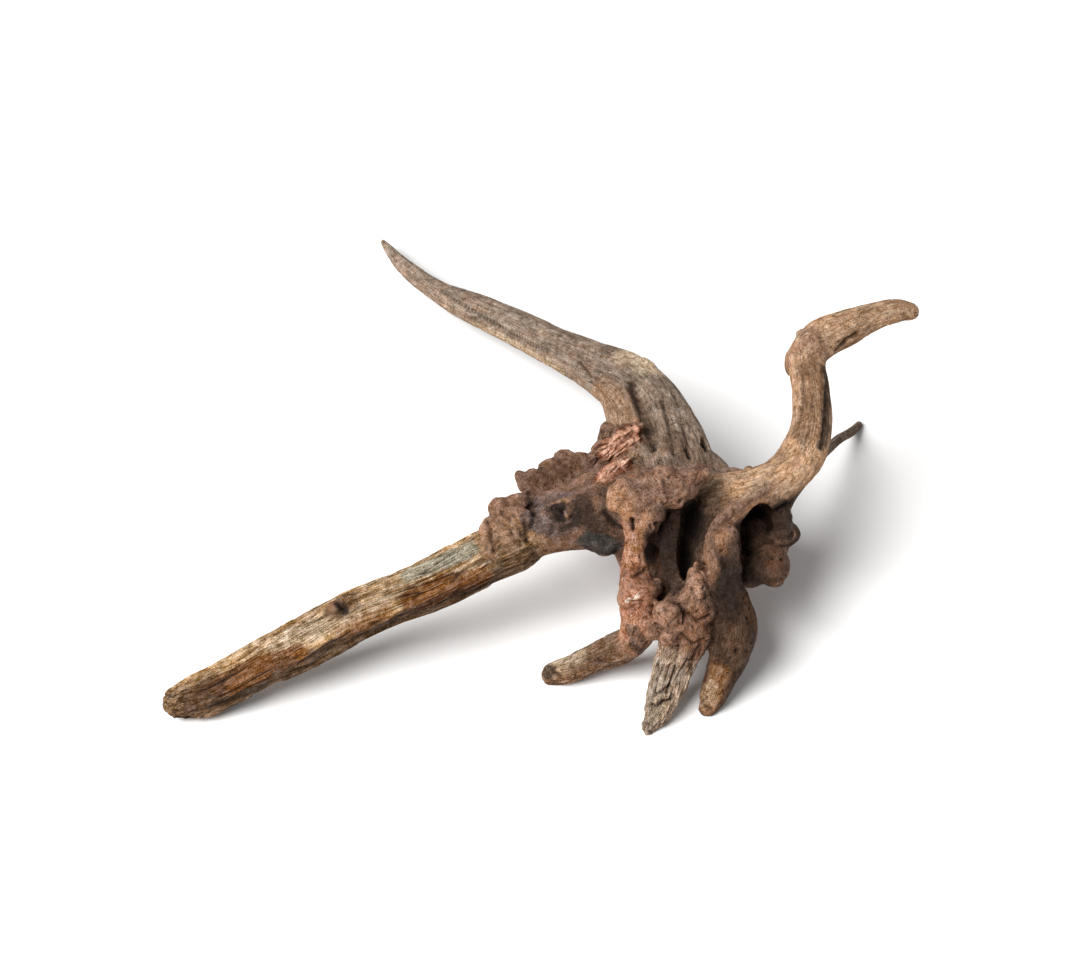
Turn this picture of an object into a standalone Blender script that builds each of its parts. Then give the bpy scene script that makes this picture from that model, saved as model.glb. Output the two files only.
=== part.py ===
# Sinker wood: a driftwood root that stands on the tips of its limbs.
# The whole root is laid out as limbs along hand-set stations, fused into one skin, and sawn into
# nodes at its main forks. Stations are in millimetres, +X to the right and +Y away from the front.

import math

import bmesh
import bpy
import numpy as np
from mathutils import Matrix, Vector

MM = 0.001

# Size and finish of the skin
VOXEL = 2.2
SMOOTH_ROUNDS = 3
LUMP_SIZE = 13.0
LUMP_HEIGHT = 1.6
TRIANGLES = 8400

# Layout: the point of the stations' frame that becomes the middle of the footprint
MIDDLE_X = 3.6
MIDDLE_Y = 49.6
FORK_GAP = 0.3
OVAL_SIDES = 20
STEPS_PER_SPAN = 6
# Rings that close a limb's end: how far on, and how wide, as shares of the last half width
DOME = ((0.5, 0.87), (0.87, 0.5))
# The broad side of every limb faces this way, up and to the front.
FRONT = Vector((0.0, -1.0, 1.0)).normalized()

# Limbs: each station is x, y, z, half width across the front view, half depth
LONG_LIMB = (
    (-210, -148, 5, 6, 6),
    (-205, -147, 7, 10, 9),
    (-194, -145, 9.5, 12, 11),
    (-179, -142, 14.5, 14, 13),
    (-161, -134, 24, 15.5, 14),
    (-137, -122, 32, 16, 15),
    (-111, -113, 40, 15.5, 14),
    (-85, -105, 48, 15, 14),
    (-60, -96, 55, 15, 14),
    (-34, -84, 62, 15.5, 14),
    (-14, -77, 67, 16, 15),
)
SHOULDER = (
    (-22, -79, 65, 12, 12),
    (3, -69, 72, 15, 15),
    (21, -69, 78, 17, 16),
    (38, -66, 80, 22, 19),
    (58, -60, 74, 28, 22),
)
SWEPT_HORN = (
    (-107, 263, 9, 2, 2),
    (-100, 248, 11, 4, 4),
    (-89, 228, 14, 5.5, 5),
    (-69, 199, 21, 7, 6),
    (-48, 175, 28, 10, 8),
    (-18, 144, 38, 12, 9),
    (9, 112, 49, 13, 9.5),
    (31, 85, 59, 15, 10.5),
    (50, 57, 70, 19, 12),
    (60, 29, 78, 23, 13),
    (66, 0, 83, 27, 15),
    (72, -27, 82, 29, 18),
    (76, -46, 74, 28, 20),
)
RAISED_ANTLER = (
    (104, -58, 84, 15, 9),
    (122, -59, 91, 14, 8),
    (138, -52, 96, 12.5, 8),
    (149, -39, 101, 11.5, 10),
    (156.5, -21, 108, 11.5, 10.5),
    (157.5, 0, 116, 11.5, 10),
    (155, 20, 122, 12, 11),
    (164, 31, 127, 12, 11),
    (179, 39, 129, 11, 9),
    (196, 49, 129, 8.5, 7),
    (211, 58, 126, 7.5, 6),
    (220, 61, 123, 6, 5),
)
COLUMN = (
    (55, -62, 98, 9, 8),
    (53, -80, 95, 7.5, 7),
    (52, -93, 84, 6.5, 6),
    (53, -102, 74, 8.5, 8),
    (55, -108, 62, 11, 11),
    (56, -115, 48, 10.5, 10),
    (54, -120, 34, 9, 9),
)
LEFT_FOOT = (
    (56, -119, 36, 9, 9),
    (47, -118, 25, 9.5, 9.5),
    (31, -119, 16, 8.2, 8.2),
    (17, -121, 8.5, 7, 7),
    (10, -121, 4.5, 6, 6),
    (7, -121, 3.5, 5, 5),
)
SPLINTERED_FOOT = (
    (86, -100, 64, 10, 9),
    (84, -114, 54, 13.5, 11),
    (82, -125, 40, 13, 10),
    (76, -133, 27, 11, 8),
    (72, -141, 17, 10.5, 8),
    (69, -149, 10, 9, 7),
    (65, -156, 5, 6, 5),
    (61, -161, 2, 3, 3),
)
RIGHT_FOOT = (
    (103, -100, 68, 9, 9),
    (107, -111, 56, 11.5, 11),
    (110, -120, 43, 13.5, 11.5),
    (107, -128, 29, 11.5, 10),
    (103, -134, 18, 9.5, 9),
    (98, -142, 7, 7.5, 7),
    (96, -145, 4, 6, 5),
)
BACK_TWIG = (
    (128, -48, 70, 9, 9),
    (147, -25, 60, 6, 6),
    (164, 10, 46, 4, 4),
    (183, 52, 24, 3.4, 3.4),
    (196, 77, 8, 3.2, 3.2),
    (203, 91, 1, 2.8, 2.8),
)
BLADE = (
    (142, -50, 95, 9, 5),
    (125, -66, 92, 8, 5),
    (112, -79, 89, 7, 5),
    (104, -90, 84, 8, 6.5),
    (105, -98, 76, 9, 7),
    (106, -108, 64, 11, 9),
)
SADDLE = (
    (150, -42, 92, 9, 6),
    (136, -50, 89, 11, 6),
    (118, -58, 84, 13, 6),
    (102, -70, 77, 14, 7),
    (92, -82, 67, 12, 8),
)
HORN_RIM = (
    (52, 44, 79, 3, 4),
    (57, 17, 88, 3.5, 4),
    (58, -11, 94, 3.5, 4),
    (54, -32, 94, 4.5, 4),
    (47, -46, 91, 5, 4),
)
CROWN_LEDGE = (
    (41, -77, 96, 9, 8),
    (48, -73, 101, 12, 9),
    (60, -68, 106, 11, 9),
    (74, -65, 109, 10, 8.5),
    (87, -61, 106, 8.5, 7),
    (93, -57, 102, 7, 6),
)
FRILL = (
    (38, -34, 80, 12, 7),
    (21, -33, 80, 13, 5),
    (5, -37, 78, 12, 5),
    (-4, -39, 77, 9, 4.5),
    (-8, -39, 77, 7, 4),
)
HOLLOW_RIDGE = (
    (72, -66, 96, 6, 6),
    (73, -80, 84, 6, 6),
    (75, -92, 72, 6, 6),
    (78, -100, 62, 8, 8),
)
UNDER_STRAND = (
    (146, -46, 88, 8, 4),
    (140, -56, 76, 5, 4),
    (140, -63, 64, 7, 6),
    (147, -62, 60, 7.5, 7),
)
STROKES = (
    LONG_LIMB,
    SHOULDER,
    SWEPT_HORN,
    RAISED_ANTLER,
    COLUMN,
    LEFT_FOOT,
    SPLINTERED_FOOT,
    RIGHT_FOOT,
    BACK_TWIG,
    BLADE,
    SADDLE,
    HORN_RIM,
    CROWN_LEDGE,
    FRILL,
    HOLLOW_RIDGE,
    UNDER_STRAND,
)

# Lumps: x, y, z, half width, half length up the front view, half depth
LUMPS = (
    # Body of the burl
    (76, -34, 66, 40, 30, 30),
    (104, -46, 68, 34, 22, 24),
    (50, -52, 72, 26, 26, 24),
    (80, -68, 56, 38, 31, 18),
    (88, -98, 50, 27, 19, 15),
    (64, -118, 47, 10, 11, 9),
    (124, -62, 54, 22, 20, 12),
    (38, -80, 68, 12, 10, 10),
    # Red bulge of the column
    (54, -110, 68, 11, 9, 9),
    # Collar knob
    (-24, -62, 77, 9, 10, 9),
    (-16, -74, 77, 10, 11, 9),
    # Stub in the dark patch, and the torn fin behind
    (13, -77, 90, 5, 5, 5),
    (38, -16, 88, 9, 11, 6),
    # Round lobe and the stub behind it
    (131, -85, 59, 12, 14, 12),
    (120, -78, 52, 12, 13, 12),
    # Knobs over the splintered foot
    (72, -121, 58, 9, 8, 8),
    (85, -108, 66, 6.5, 7.5, 7),
    # Drips and lobes of the crown ledge
    (46, -79, 100, 11, 11, 9),
    (57, -87, 97, 8, 10, 8),
    (75, -63, 110, 9, 7, 7),
    (91, -61, 106, 6.5, 7.5, 6),
    # Knot on the long limb, knots on the saddle, bend of the antler
    (-115, -114, 53, 5.5, 5, 5),
    (119, -46, 97, 4, 3.5, 4),
    (157, 22, 127, 11, 12, 10),
)

# Hollows cut into the skin, in the same measures
HOLLOWS = (
    # Between the column and the blade
    (87, -94, 80, 8, 19, 16),
    (66, -98, 84, 4.5, 14, 8),
    # Right hollow under the blade
    (123, -88, 76, 9, 19, 15),
    # Under the burl
    (86, -50, 22, 34, 20, 22),
    # Groove beside the rim of the horn
    (64, 30, 96, 4, 16, 6),
    (70, 2, 102, 4, 16, 6),
    # Slit at the foot of the horn
    (95, -23, 92, 2.4, 9, 6),
    # Hole beside the column
    (48, -86, 96, 2.6, 4, 9),
)

# Saw cuts at the forks: a point of the cut, the way out along the limb, the way to its right,
# and how far the limb reaches out, to each side, down and up from there
FORKS = {
    "long_limb": ((-30, -82, 63), (-1, -0.35, -0.3), (0, 1, 0), 230, (60, 60), (60, 60)),
    "swept_horn": ((66, 4, 82), (-0.15, 1, -0.1), (1, 0, 0), 300, (230, 44), (110, 60)),
    "raised_antler": ((142, -48, 98), (0.75, 0.6, 0.25), (0.6, -0.75, 0), 130, (90, 30), (24, 70)),
    "left_foot": ((50, -119, 29), (-1, -0.02, -0.3), (0, 1, 0), 80, (20, 24), (34, 16)),
    "splintered_foot": ((82, -126, 39), (-0.2, -0.5, -0.8), (1, 0, 0), 70, (20, 11), (22, 22)),
    "right_foot": ((109, -122, 40), (-0.15, -0.45, -0.85), (1, 0, 0), 60, (13, 26), (24, 24)),
    "back_twig": ((152, -16, 56), (0.4, 0.75, -0.45), (0.9, -0.4, 0), 140, (24, 24), (24, 16)),
}

# Colour and roughness of each node's plain material
FINISHES = {
    "burl": ((0.150, 0.090, 0.060), 0.86),
    "long_limb": ((0.230, 0.135, 0.068), 0.82),
    "swept_horn": ((0.200, 0.135, 0.088), 0.85),
    "raised_antler": ((0.270, 0.160, 0.085), 0.80),
    "left_foot": ((0.190, 0.110, 0.065), 0.84),
    "splintered_foot": ((0.240, 0.185, 0.130), 0.90),
    "right_foot": ((0.180, 0.095, 0.045), 0.84),
    "back_twig": ((0.120, 0.080, 0.050), 0.85),
}


def clear_scene():
    """Removes every object, so that the script can run again in an open file."""
    for obj in list(bpy.data.objects):
        bpy.data.objects.remove(obj, do_unlink=True)


def placed(x, y, z):
    """A point of the stations' frame, in metres and in the object's own frame."""
    return Vector((x - MIDDLE_X, y - MIDDLE_Y, z)) * MM


def along(stations):
    """Stations filled in between: a smooth curve through each of the five columns."""
    rows = np.array(stations, float)
    padded = np.vstack([2 * rows[0] - rows[1], rows, 2 * rows[-1] - rows[-2]])
    before, start, end, after = padded[:-3], padded[1:-2], padded[2:-1], padded[3:]
    filled = []
    for t in np.arange(STEPS_PER_SPAN) / STEPS_PER_SPAN:
        bend = 2 * before - 5 * start + 4 * end - after
        twist = 3 * start - before - 3 * end + after
        filled.append(start + 0.5 * ((end - before) * t + bend * t**2 + twist * t**3))
    spans = np.stack(filled, axis=1).reshape(-1, rows.shape[1])
    return np.vstack([spans, rows[-1]])


def domed(rows):
    """Rows with two smaller ones past each end, so that the tube ends in a dome."""
    for _ in range(2):
        rows = rows[::-1]
        step = rows[-1, :3] - rows[-2, :3]
        ahead = step / np.linalg.norm(step) * rows[-1, 3]
        caps = []
        for reach, width in DOME:
            caps.append(np.concatenate([rows[-1, :3] + reach * ahead, width * rows[-1, 3:]]))
        rows = np.vstack([rows, caps])
    return rows


def add_limb(bm, stations):
    """One closed tube of oval section, its broad side to the front."""
    rows = domed(along(stations))
    centres = [placed(*row[:3]) for row in rows]
    rings = []
    for index, (row, centre) in enumerate(zip(rows, centres)):
        ahead = centres[min(index + 1, len(centres) - 1)]
        behind = centres[max(index - 1, 0)]
        forward = (ahead - behind).normalized()
        across = forward.cross(FRONT).normalized()
        deep = across.cross(forward)
        ring = []
        for side in range(OVAL_SIDES):
            angle = 2 * math.pi * side / OVAL_SIDES
            wide = across * (math.cos(angle) * max(row[3], 1.0) * MM)
            ring.append(bm.verts.new(centre + wide + deep * (math.sin(angle) * max(row[4], 1.0) * MM)))
        rings.append(ring)
    for ring, following in zip(rings, rings[1:]):
        for side in range(OVAL_SIDES):
            turn = (side + 1) % OVAL_SIDES
            bm.faces.new((ring[side], ring[turn], following[turn], following[side]))
    bm.faces.new(reversed(rings[0]))
    bm.faces.new(rings[-1])


def add_ball(bm, x, y, z, wide, tall, deep):
    """One ellipsoid whose height runs up the front view and whose depth runs along the view."""
    upward = Vector((1, 0, 0)).cross(FRONT) * -1
    turned = Matrix((Vector((1, 0, 0)), upward, FRONT)).transposed().to_4x4()
    size = Matrix.Diagonal((wide * MM, tall * MM, deep * MM, 1))
    matrix = Matrix.Translation(placed(x, y, z)) @ turned @ size
    bmesh.ops.create_icosphere(bm, subdivisions=3, radius=1, matrix=matrix)


def object_of(bm, name):
    """A new object of this mesh, with its faces turned outward."""
    bmesh.ops.recalc_face_normals(bm, faces=bm.faces)
    mesh = bpy.data.meshes.new(name)
    bm.to_mesh(mesh)
    bm.free()
    obj = bpy.data.objects.new(name, mesh)
    bpy.context.scene.collection.objects.link(obj)
    return obj


def helper(obj):
    """Marks an object as a cutter or a guide."""
    obj.hide_render = True
    obj.display_type = "WIRE"
    return obj


def fused(obj, voxel):
    """One skin around the overlapping bodies of an object."""
    remesh = obj.modifiers.new("fuse", "REMESH")
    remesh.mode = "VOXEL"
    remesh.voxel_size = voxel * MM
    return obj


def cut(obj, other, operation, name):
    """A Boolean on an object."""
    boolean = obj.modifiers.new(name, "BOOLEAN")
    boolean.operation = operation
    boolean.object = other
    return boolean


def settled(obj):
    """Makes the modifiers' result the object's own mesh."""
    graph = bpy.context.evaluated_depsgraph_get()
    mesh = bpy.data.meshes.new_from_object(obj.evaluated_get(graph))
    obj.modifiers.clear()
    obj.data = mesh
    return obj


def make_hollows():
    """The hollows as one closed body of separate or overlapping balls."""
    bm = bmesh.new()
    for hollow in HOLLOWS:
        add_ball(bm, *hollow)
    return helper(settled(fused(object_of(bm, "hollows"), VOXEL)))


def make_floor_cut():
    """A slab under the ground, which flattens what stands on it."""
    bm = bmesh.new()
    matrix = Matrix.Translation((0, 0, -0.05)) @ Matrix.Diagonal((0.8, 0.8, 0.1, 1))
    bmesh.ops.create_cube(bm, size=1, matrix=matrix)
    return helper(object_of(bm, "ground"))


def make_root():
    """The whole root as one skin of a few thousand triangles."""
    bm = bmesh.new()
    for stations in STROKES:
        add_limb(bm, stations)
    for lump in LUMPS:
        add_ball(bm, *lump)
    root = fused(object_of(bm, "root"), VOXEL)
    smooth = root.modifiers.new("soften", "SMOOTH")
    smooth.factor = 0.5
    smooth.iterations = SMOOTH_ROUNDS
    cut(root, make_hollows(), "DIFFERENCE", "hollows")
    again = root.modifiers.new("even", "REMESH")
    again.mode = "VOXEL"
    again.voxel_size = VOXEL * MM
    clouds = bpy.data.textures.new("lumps", "CLOUDS")
    clouds.noise_scale = LUMP_SIZE * MM
    relief = root.modifiers.new("relief", "DISPLACE")
    relief.texture = clouds
    relief.texture_coords = "LOCAL"
    relief.strength = LUMP_HEIGHT * MM
    relief.mid_level = 0.5
    settled(root)
    keep_largest(root)
    thin = root.modifiers.new("thin", "DECIMATE")
    thin.ratio = TRIANGLES / (2 * len(root.data.vertices))
    cut(root, make_floor_cut(), "DIFFERENCE", "stand")
    return helper(settled(root))


def keep_largest(obj):
    """Drops any crumb that isn't joined to the main body."""
    bm = bmesh.new()
    bm.from_mesh(obj.data)
    left = set(bm.verts)
    bodies = []
    while left:
        front = [left.pop()]
        body = list(front)
        while front:
            near = {edge.other_vert(vert) for vert in front for edge in vert.link_edges} & left
            left -= near
            front = list(near)
            body += front
        bodies.append(body)
    bodies.sort(key=len)
    crumbs = [vert for body in bodies[:-1] for vert in body]
    bmesh.ops.delete(bm, geom=crumbs, context="VERTS")
    bm.to_mesh(obj.data)
    bm.free()


def fork_box(name, grown):
    """The convex block that holds one limb, from its fork outward."""
    point, out, right, reach, (left, wide), (below, above) = FORKS[name]
    forward = Vector(out).normalized()
    up = forward.cross(Vector(right)).normalized()
    if up.z < 0:
        up.negate()
    side = up.cross(forward).normalized()
    if side.dot(Vector(right)) < 0:
        side.negate()
    origin = placed(*point)
    bm = bmesh.new()
    corners = []
    for lift in (-below - grown, above + grown):
        for across, ahead in (
            (-left - grown, -grown),
            (wide + grown, -grown),
            (wide + grown, reach + grown),
            (-left - grown, reach + grown),
        ):
            corners.append(bm.verts.new(origin + (side * across + forward * ahead + up * lift) * MM))
    bm.faces.new(corners[:4])
    bm.faces.new(corners[4:])
    for a in range(4):
        b = (a + 1) % 4
        bm.faces.new((corners[a], corners[b], corners[b + 4], corners[a + 4]))
    return helper(object_of(bm, name + "_fork"))


def finish_of(name):
    """The plain material of one node."""
    colour, roughness = FINISHES[name]
    material = bpy.data.materials.new(name)
    material.use_nodes = True
    shader = material.node_tree.nodes["Principled BSDF"]
    shader.inputs["Base Color"].default_value = (*colour, 1)
    shader.inputs["Roughness"].default_value = roughness
    shader.inputs["Metallic"].default_value = 0
    return material


def make_node(root, name):
    """A copy of the root, which the fork cuts make into one node."""
    node = bpy.data.objects.new(name, root.data.copy())
    bpy.context.scene.collection.objects.link(node)
    node.data.materials.clear()
    node.data.materials.append(finish_of(name))
    return node


def saw(root):
    """Cuts the root at its forks: each limb inside its block, and the burl outside all of them."""
    burl = make_node(root, "burl")
    for name in FORKS:
        limb = make_node(root, name)
        cut(limb, fork_box(name, 0), "INTERSECT", "fork")
        settled(limb)
        keep_largest(limb)
        cut(burl, fork_box(name, FORK_GAP), "DIFFERENCE", name)
    settled(burl)
    keep_largest(burl)


def main():
    clear_scene()
    saw(make_root())


main()
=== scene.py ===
# %% [markdown]
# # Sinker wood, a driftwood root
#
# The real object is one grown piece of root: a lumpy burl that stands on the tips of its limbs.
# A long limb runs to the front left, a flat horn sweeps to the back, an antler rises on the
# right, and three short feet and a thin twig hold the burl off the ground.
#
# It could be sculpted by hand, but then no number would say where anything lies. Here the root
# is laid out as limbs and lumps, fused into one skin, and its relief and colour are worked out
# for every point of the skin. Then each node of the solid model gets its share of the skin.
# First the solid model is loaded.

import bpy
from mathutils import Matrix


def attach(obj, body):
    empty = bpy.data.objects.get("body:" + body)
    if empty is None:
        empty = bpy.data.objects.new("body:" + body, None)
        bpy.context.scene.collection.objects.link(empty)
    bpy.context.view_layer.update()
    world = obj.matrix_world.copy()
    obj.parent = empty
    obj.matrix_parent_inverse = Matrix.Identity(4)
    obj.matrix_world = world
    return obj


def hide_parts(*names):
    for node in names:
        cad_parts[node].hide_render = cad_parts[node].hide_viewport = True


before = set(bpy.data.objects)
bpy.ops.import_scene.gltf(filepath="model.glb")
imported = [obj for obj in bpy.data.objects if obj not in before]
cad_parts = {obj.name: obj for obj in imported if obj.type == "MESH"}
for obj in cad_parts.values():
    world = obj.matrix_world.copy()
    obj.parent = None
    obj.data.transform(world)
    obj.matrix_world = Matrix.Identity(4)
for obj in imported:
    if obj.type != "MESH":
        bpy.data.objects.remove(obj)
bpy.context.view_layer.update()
print("nodes:", ", ".join(sorted(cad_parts)))

# %% Tools and units
import math

import bmesh
import bpy
import numpy as np
from mathutils import Vector

MM = 0.001

# %% [markdown]
# # The layout frame
#
# Every place on the root is written in millimetres in a layout frame: +X to the right, +Y away
# from the front and +Z up. One point of it is the middle of the footprint, so that layout
# numbers become places in the solid model's frame by a plain shift.

# %% From layout millimetres to the model's metres
MIDDLE = np.array([3.6, 49.6, 0.0])


def placed(points):
    """Layout millimetres minus the middle of the footprint, in metres."""
    return (np.asarray(points, float) - MIDDLE) * MM


print("the layout's zero lies at", placed((0, 0, 0)), "m")

# %% [markdown]
# # Camera
#
# The root was seen from the front and from above at 45 degrees, with a long lens that keeps the
# limbs' proportions. An image point is the camera's own arithmetic turned round: the offset to
# the side and up, divided by the distance ahead. The same arithmetic later tells which point of
# the wood lies under a place in the image.

# %% Set the camera
FOCAL_PIXELS = 2600.0
IMAGE = (1080, 965)
DISTANCE = 1560.0
TARGET = np.array([0.0, 0.0, 40.0])
SIGHT = np.array([0.0, math.sqrt(0.5), -math.sqrt(0.5)])
UP_VIEW = np.array([0.0, math.sqrt(0.5), math.sqrt(0.5)])
EYE = TARGET - DISTANCE * SIGHT

camera = bpy.data.objects.new("camera", bpy.data.cameras.new("camera"))
bpy.context.scene.collection.objects.link(camera)
camera.data.sensor_width = 36.0
camera.data.lens = 36.0 * FOCAL_PIXELS / IMAGE[0]
camera.data.clip_start = 0.01
camera.data.clip_end = 20.0
camera.location = placed(EYE)
camera.rotation_mode = "QUATERNION"
camera.rotation_quaternion = Vector(SIGHT).to_track_quat("-Z", "Y")
bpy.context.scene.camera = camera
print("lens", round(camera.data.lens, 1), "mm, eye at", [round(c, 3) for c in camera.location])


def in_image(points):
    """Image column and row of layout points, and their distance ahead of the eye."""
    reach = points - EYE
    ahead = reach @ SIGHT
    column = IMAGE[0] / 2 + FOCAL_PIXELS * reach[:, 0] / ahead
    row = IMAGE[1] / 2 - FOCAL_PIXELS * (reach @ UP_VIEW) / ahead
    return np.stack([column, row], axis=1), ahead


# %% [markdown]
# # Light and floor
#
# Soft shadows fall to the right and a little to the back, so the main light comes from the left,
# a little from the front, and stands about 48 degrees high. A sun as wide as a studio lamp gives
# the soft edge, and a plain white surround fills the shadows. The floor is a pale sheet that
# isn't part of the object, wide enough that a low view doesn't see its end.

# %% Light and floor
SUN_DIRECTION = (0.78, 0.55, -1.05)
SUN_STRENGTH = 5.3
SUN_WIDTH = 0.7
FILL = 0.31

sun = bpy.data.objects.new("key_light", bpy.data.lights.new("key_light", "SUN"))
bpy.context.scene.collection.objects.link(sun)
sun.data.energy = SUN_STRENGTH
sun.data.angle = SUN_WIDTH
sun.data.color = (1.0, 0.99, 0.975)
sun.rotation_mode = "QUATERNION"
sun.rotation_quaternion = Vector(SUN_DIRECTION).to_track_quat("-Z", "Y")

world = bpy.data.worlds.new("surround")
world.use_nodes = True
world.node_tree.nodes["Background"].inputs["Color"].default_value = (0.985, 0.99, 1.0, 1)
world.node_tree.nodes["Background"].inputs["Strength"].default_value = FILL
bpy.context.scene.world = world
bpy.context.scene.view_settings.view_transform = "Standard"

floor_half = 8.0
floor_mesh = bpy.data.meshes.new("floor")
floor_mesh.from_pydata(
    [(x * floor_half, y * floor_half, 0) for x, y in ((-1, -1), (1, -1), (1, 1), (-1, 1))],
    [],
    [(0, 1, 2, 3)],
)
floor = bpy.data.objects.new("floor", floor_mesh)
bpy.context.scene.collection.objects.link(floor)
paper = bpy.data.materials.new("pale_floor")
paper.use_nodes = True
paper.node_tree.nodes["Principled BSDF"].inputs["Base Color"].default_value = (0.88, 0.88, 0.88, 1)
paper.node_tree.nodes["Principled BSDF"].inputs["Roughness"].default_value = 0.9
floor_mesh.materials.append(paper)
sun_height = math.degrees(math.atan2(-SUN_DIRECTION[2], math.hypot(*SUN_DIRECTION[:2])))
print("sun", round(sun_height), "degrees high, floor", 2 * floor_half, "m wide")

# %% [markdown]
# # Limbs
#
# A limb has a path and a thickness that changes along it, so each is a row of stations: a
# place, the half width across the front view and the half depth along it. The solid model was
# laid out from nearly the same stations, so that the skin lies close to the solids.

# %% Stations of the long limb, the shoulder and the horn
LIMBS = {
    "long_limb": (
        (-205, -146, 9.5, 9.5, 9),
        (-194, -143, 12, 11.5, 10.5),
        (-179, -139, 17, 12.2, 12),
        (-161, -133, 24.5, 13, 12.5),
        (-137, -123, 31, 14.8, 14),
        (-111, -112, 41, 14.8, 14),
        (-85, -104, 49, 14.5, 14),
        (-60, -96, 55, 14.5, 14),
        (-34, -84, 62, 15.5, 14),
        (-14, -77, 67, 16, 15),
    ),
    "shoulder": (
        (-22, -79, 65, 12, 12),
        (3, -69, 72, 15, 15),
        (21, -69, 78, 17, 16),
        (38, -66, 80, 22, 19),
        (58, -60, 74, 28, 22),
    ),
    "swept_horn": (
        (-107, 263, 9, 2, 2),
        (-100, 248, 11, 4, 4),
        (-89, 228, 14, 5.5, 5),
        (-69, 199, 21, 7, 6),
        (-48, 175, 28, 10, 8),
        (-18, 144, 38, 12, 9),
        (9, 112, 49, 13, 9.5),
        (31, 85, 59, 15, 10.5),
        (50, 57, 70, 19, 12),
        (60, 29, 78, 23, 13),
        (66, 0, 83, 27, 15),
        (72, -27, 82, 29, 18),
        (76, -46, 74, 28, 20),
    ),
}
print("stations:", {name: len(rows) for name, rows in LIMBS.items()})

# %% Stations of the antler, the column, the feet and the twig
LIMBS |= {
    "raised_antler": (
        (104, -58, 84, 15, 9),
        (122, -59, 91, 14, 8),
        (138, -52, 96, 12.5, 8),
        (150, -39, 101, 13.5, 10),
        (156.5, -21, 108, 12, 10.5),
        (157, 0, 116, 11, 10),
        (155.8, 20, 122, 11, 11),
        (164, 31, 127, 12, 11),
        (179, 39, 129, 11, 9),
        (196, 49, 129, 8.5, 7),
        (211, 58, 126, 7.5, 6),
        (220, 61, 123, 6, 5),
    ),
    "column": (
        (55, -62, 98, 9, 8),
        (53, -80, 95, 7.5, 7),
        (53, -93, 84, 5.5, 6),
        (53, -102, 74, 8, 8),
        (55, -108, 62, 11, 11),
        (56, -115, 48, 10.5, 10),
        (54, -120, 34, 9, 9),
    ),
    "left_foot": (
        (56, -119, 36, 9, 9),
        (47, -118, 25, 9.5, 9.5),
        (31, -119, 16, 8.2, 8.2),
        (17, -121, 9, 8, 7.5),
        (10, -121, 6, 7.5, 6.5),
        (7, -121, 5, 7, 6),
    ),
    "splintered_foot": (
        (86, -100, 64, 10, 9),
        (84, -114, 54, 13.5, 11),
        (82, -125, 40, 13, 10),
        (76, -133, 27, 11, 8),
        (72, -141, 17, 10.5, 8),
        (69, -149, 10, 9, 7),
        (65, -156, 5, 6, 5),
        (61, -161, 2, 3, 3),
    ),
    "right_foot": (
        (103, -100, 68, 9, 9),
        (107, -111, 56, 11.5, 11),
        (110, -120, 43, 13.5, 11.5),
        (107, -128, 29, 11.5, 10),
        (103, -134, 18, 9.5, 9),
        (98, -142, 7, 7.5, 7),
        (96, -145, 4, 6, 5),
    ),
    "back_twig": (
        (128, -48, 70, 9, 9),
        (147, -25, 60, 6, 6),
        (164, 10, 46, 4, 4),
        (183, 52, 24, 3.4, 3.4),
        (196, 77, 8, 3.2, 3.2),
        (203, 91, 1, 2.8, 2.8),
    ),
}
print("limbs so far:", ", ".join(LIMBS))

# %% Stations of the plates, ridges and ledges of the burl
LIMBS |= {
    "blade": (
        (142, -50, 95, 9, 5),
        (126, -64, 93, 6.5, 5),
        (112, -76, 92, 5, 5),
        (103, -84, 89, 5, 5),
        (98, -92, 86, 5.5, 5.5),
        (97, -98, 80, 5, 5),
        (99, -103, 73, 5, 6),
        (96, -107, 62, 6, 7),
    ),
    "blade_face": (
        (116, -76, 82, 5, 4),
        (108, -86, 78, 8, 4),
        (106, -95, 70, 8, 5),
        (105, -103, 61, 9, 7),
    ),
    "saddle": (
        (150, -42, 92, 9, 6),
        (136, -50, 89, 11, 6),
        (118, -58, 84, 13, 6),
        (102, -70, 77, 14, 7),
        (92, -82, 67, 12, 8),
    ),
    "horn_rim": (
        (52, 44, 79, 3, 4),
        (57, 17, 88, 3.5, 4),
        (58, -11, 94, 3.5, 4),
        (54, -32, 94, 4.5, 4),
        (47, -46, 91, 5, 4),
    ),
    "crown_ledge": (
        (47, -75, 101, 9, 7),
        (58, -73, 105, 10, 7),
        (70, -69, 108, 9, 6),
        (82, -67, 108, 8, 6),
        (91, -62, 106, 5, 5),
    ),
    "hollow_ridge": (
        (73, -66, 94, 7, 6),
        (74, -79, 82, 7, 6),
        (75, -91, 71, 7, 6),
        (78, -100, 62, 8, 8),
    ),
    "under_strand": (
        (146, -46, 88, 8, 4),
        (140, -56, 76, 5, 4),
        (140, -63, 64, 7, 6),
        (144, -63, 61, 7, 6.5),
    ),
}
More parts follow.
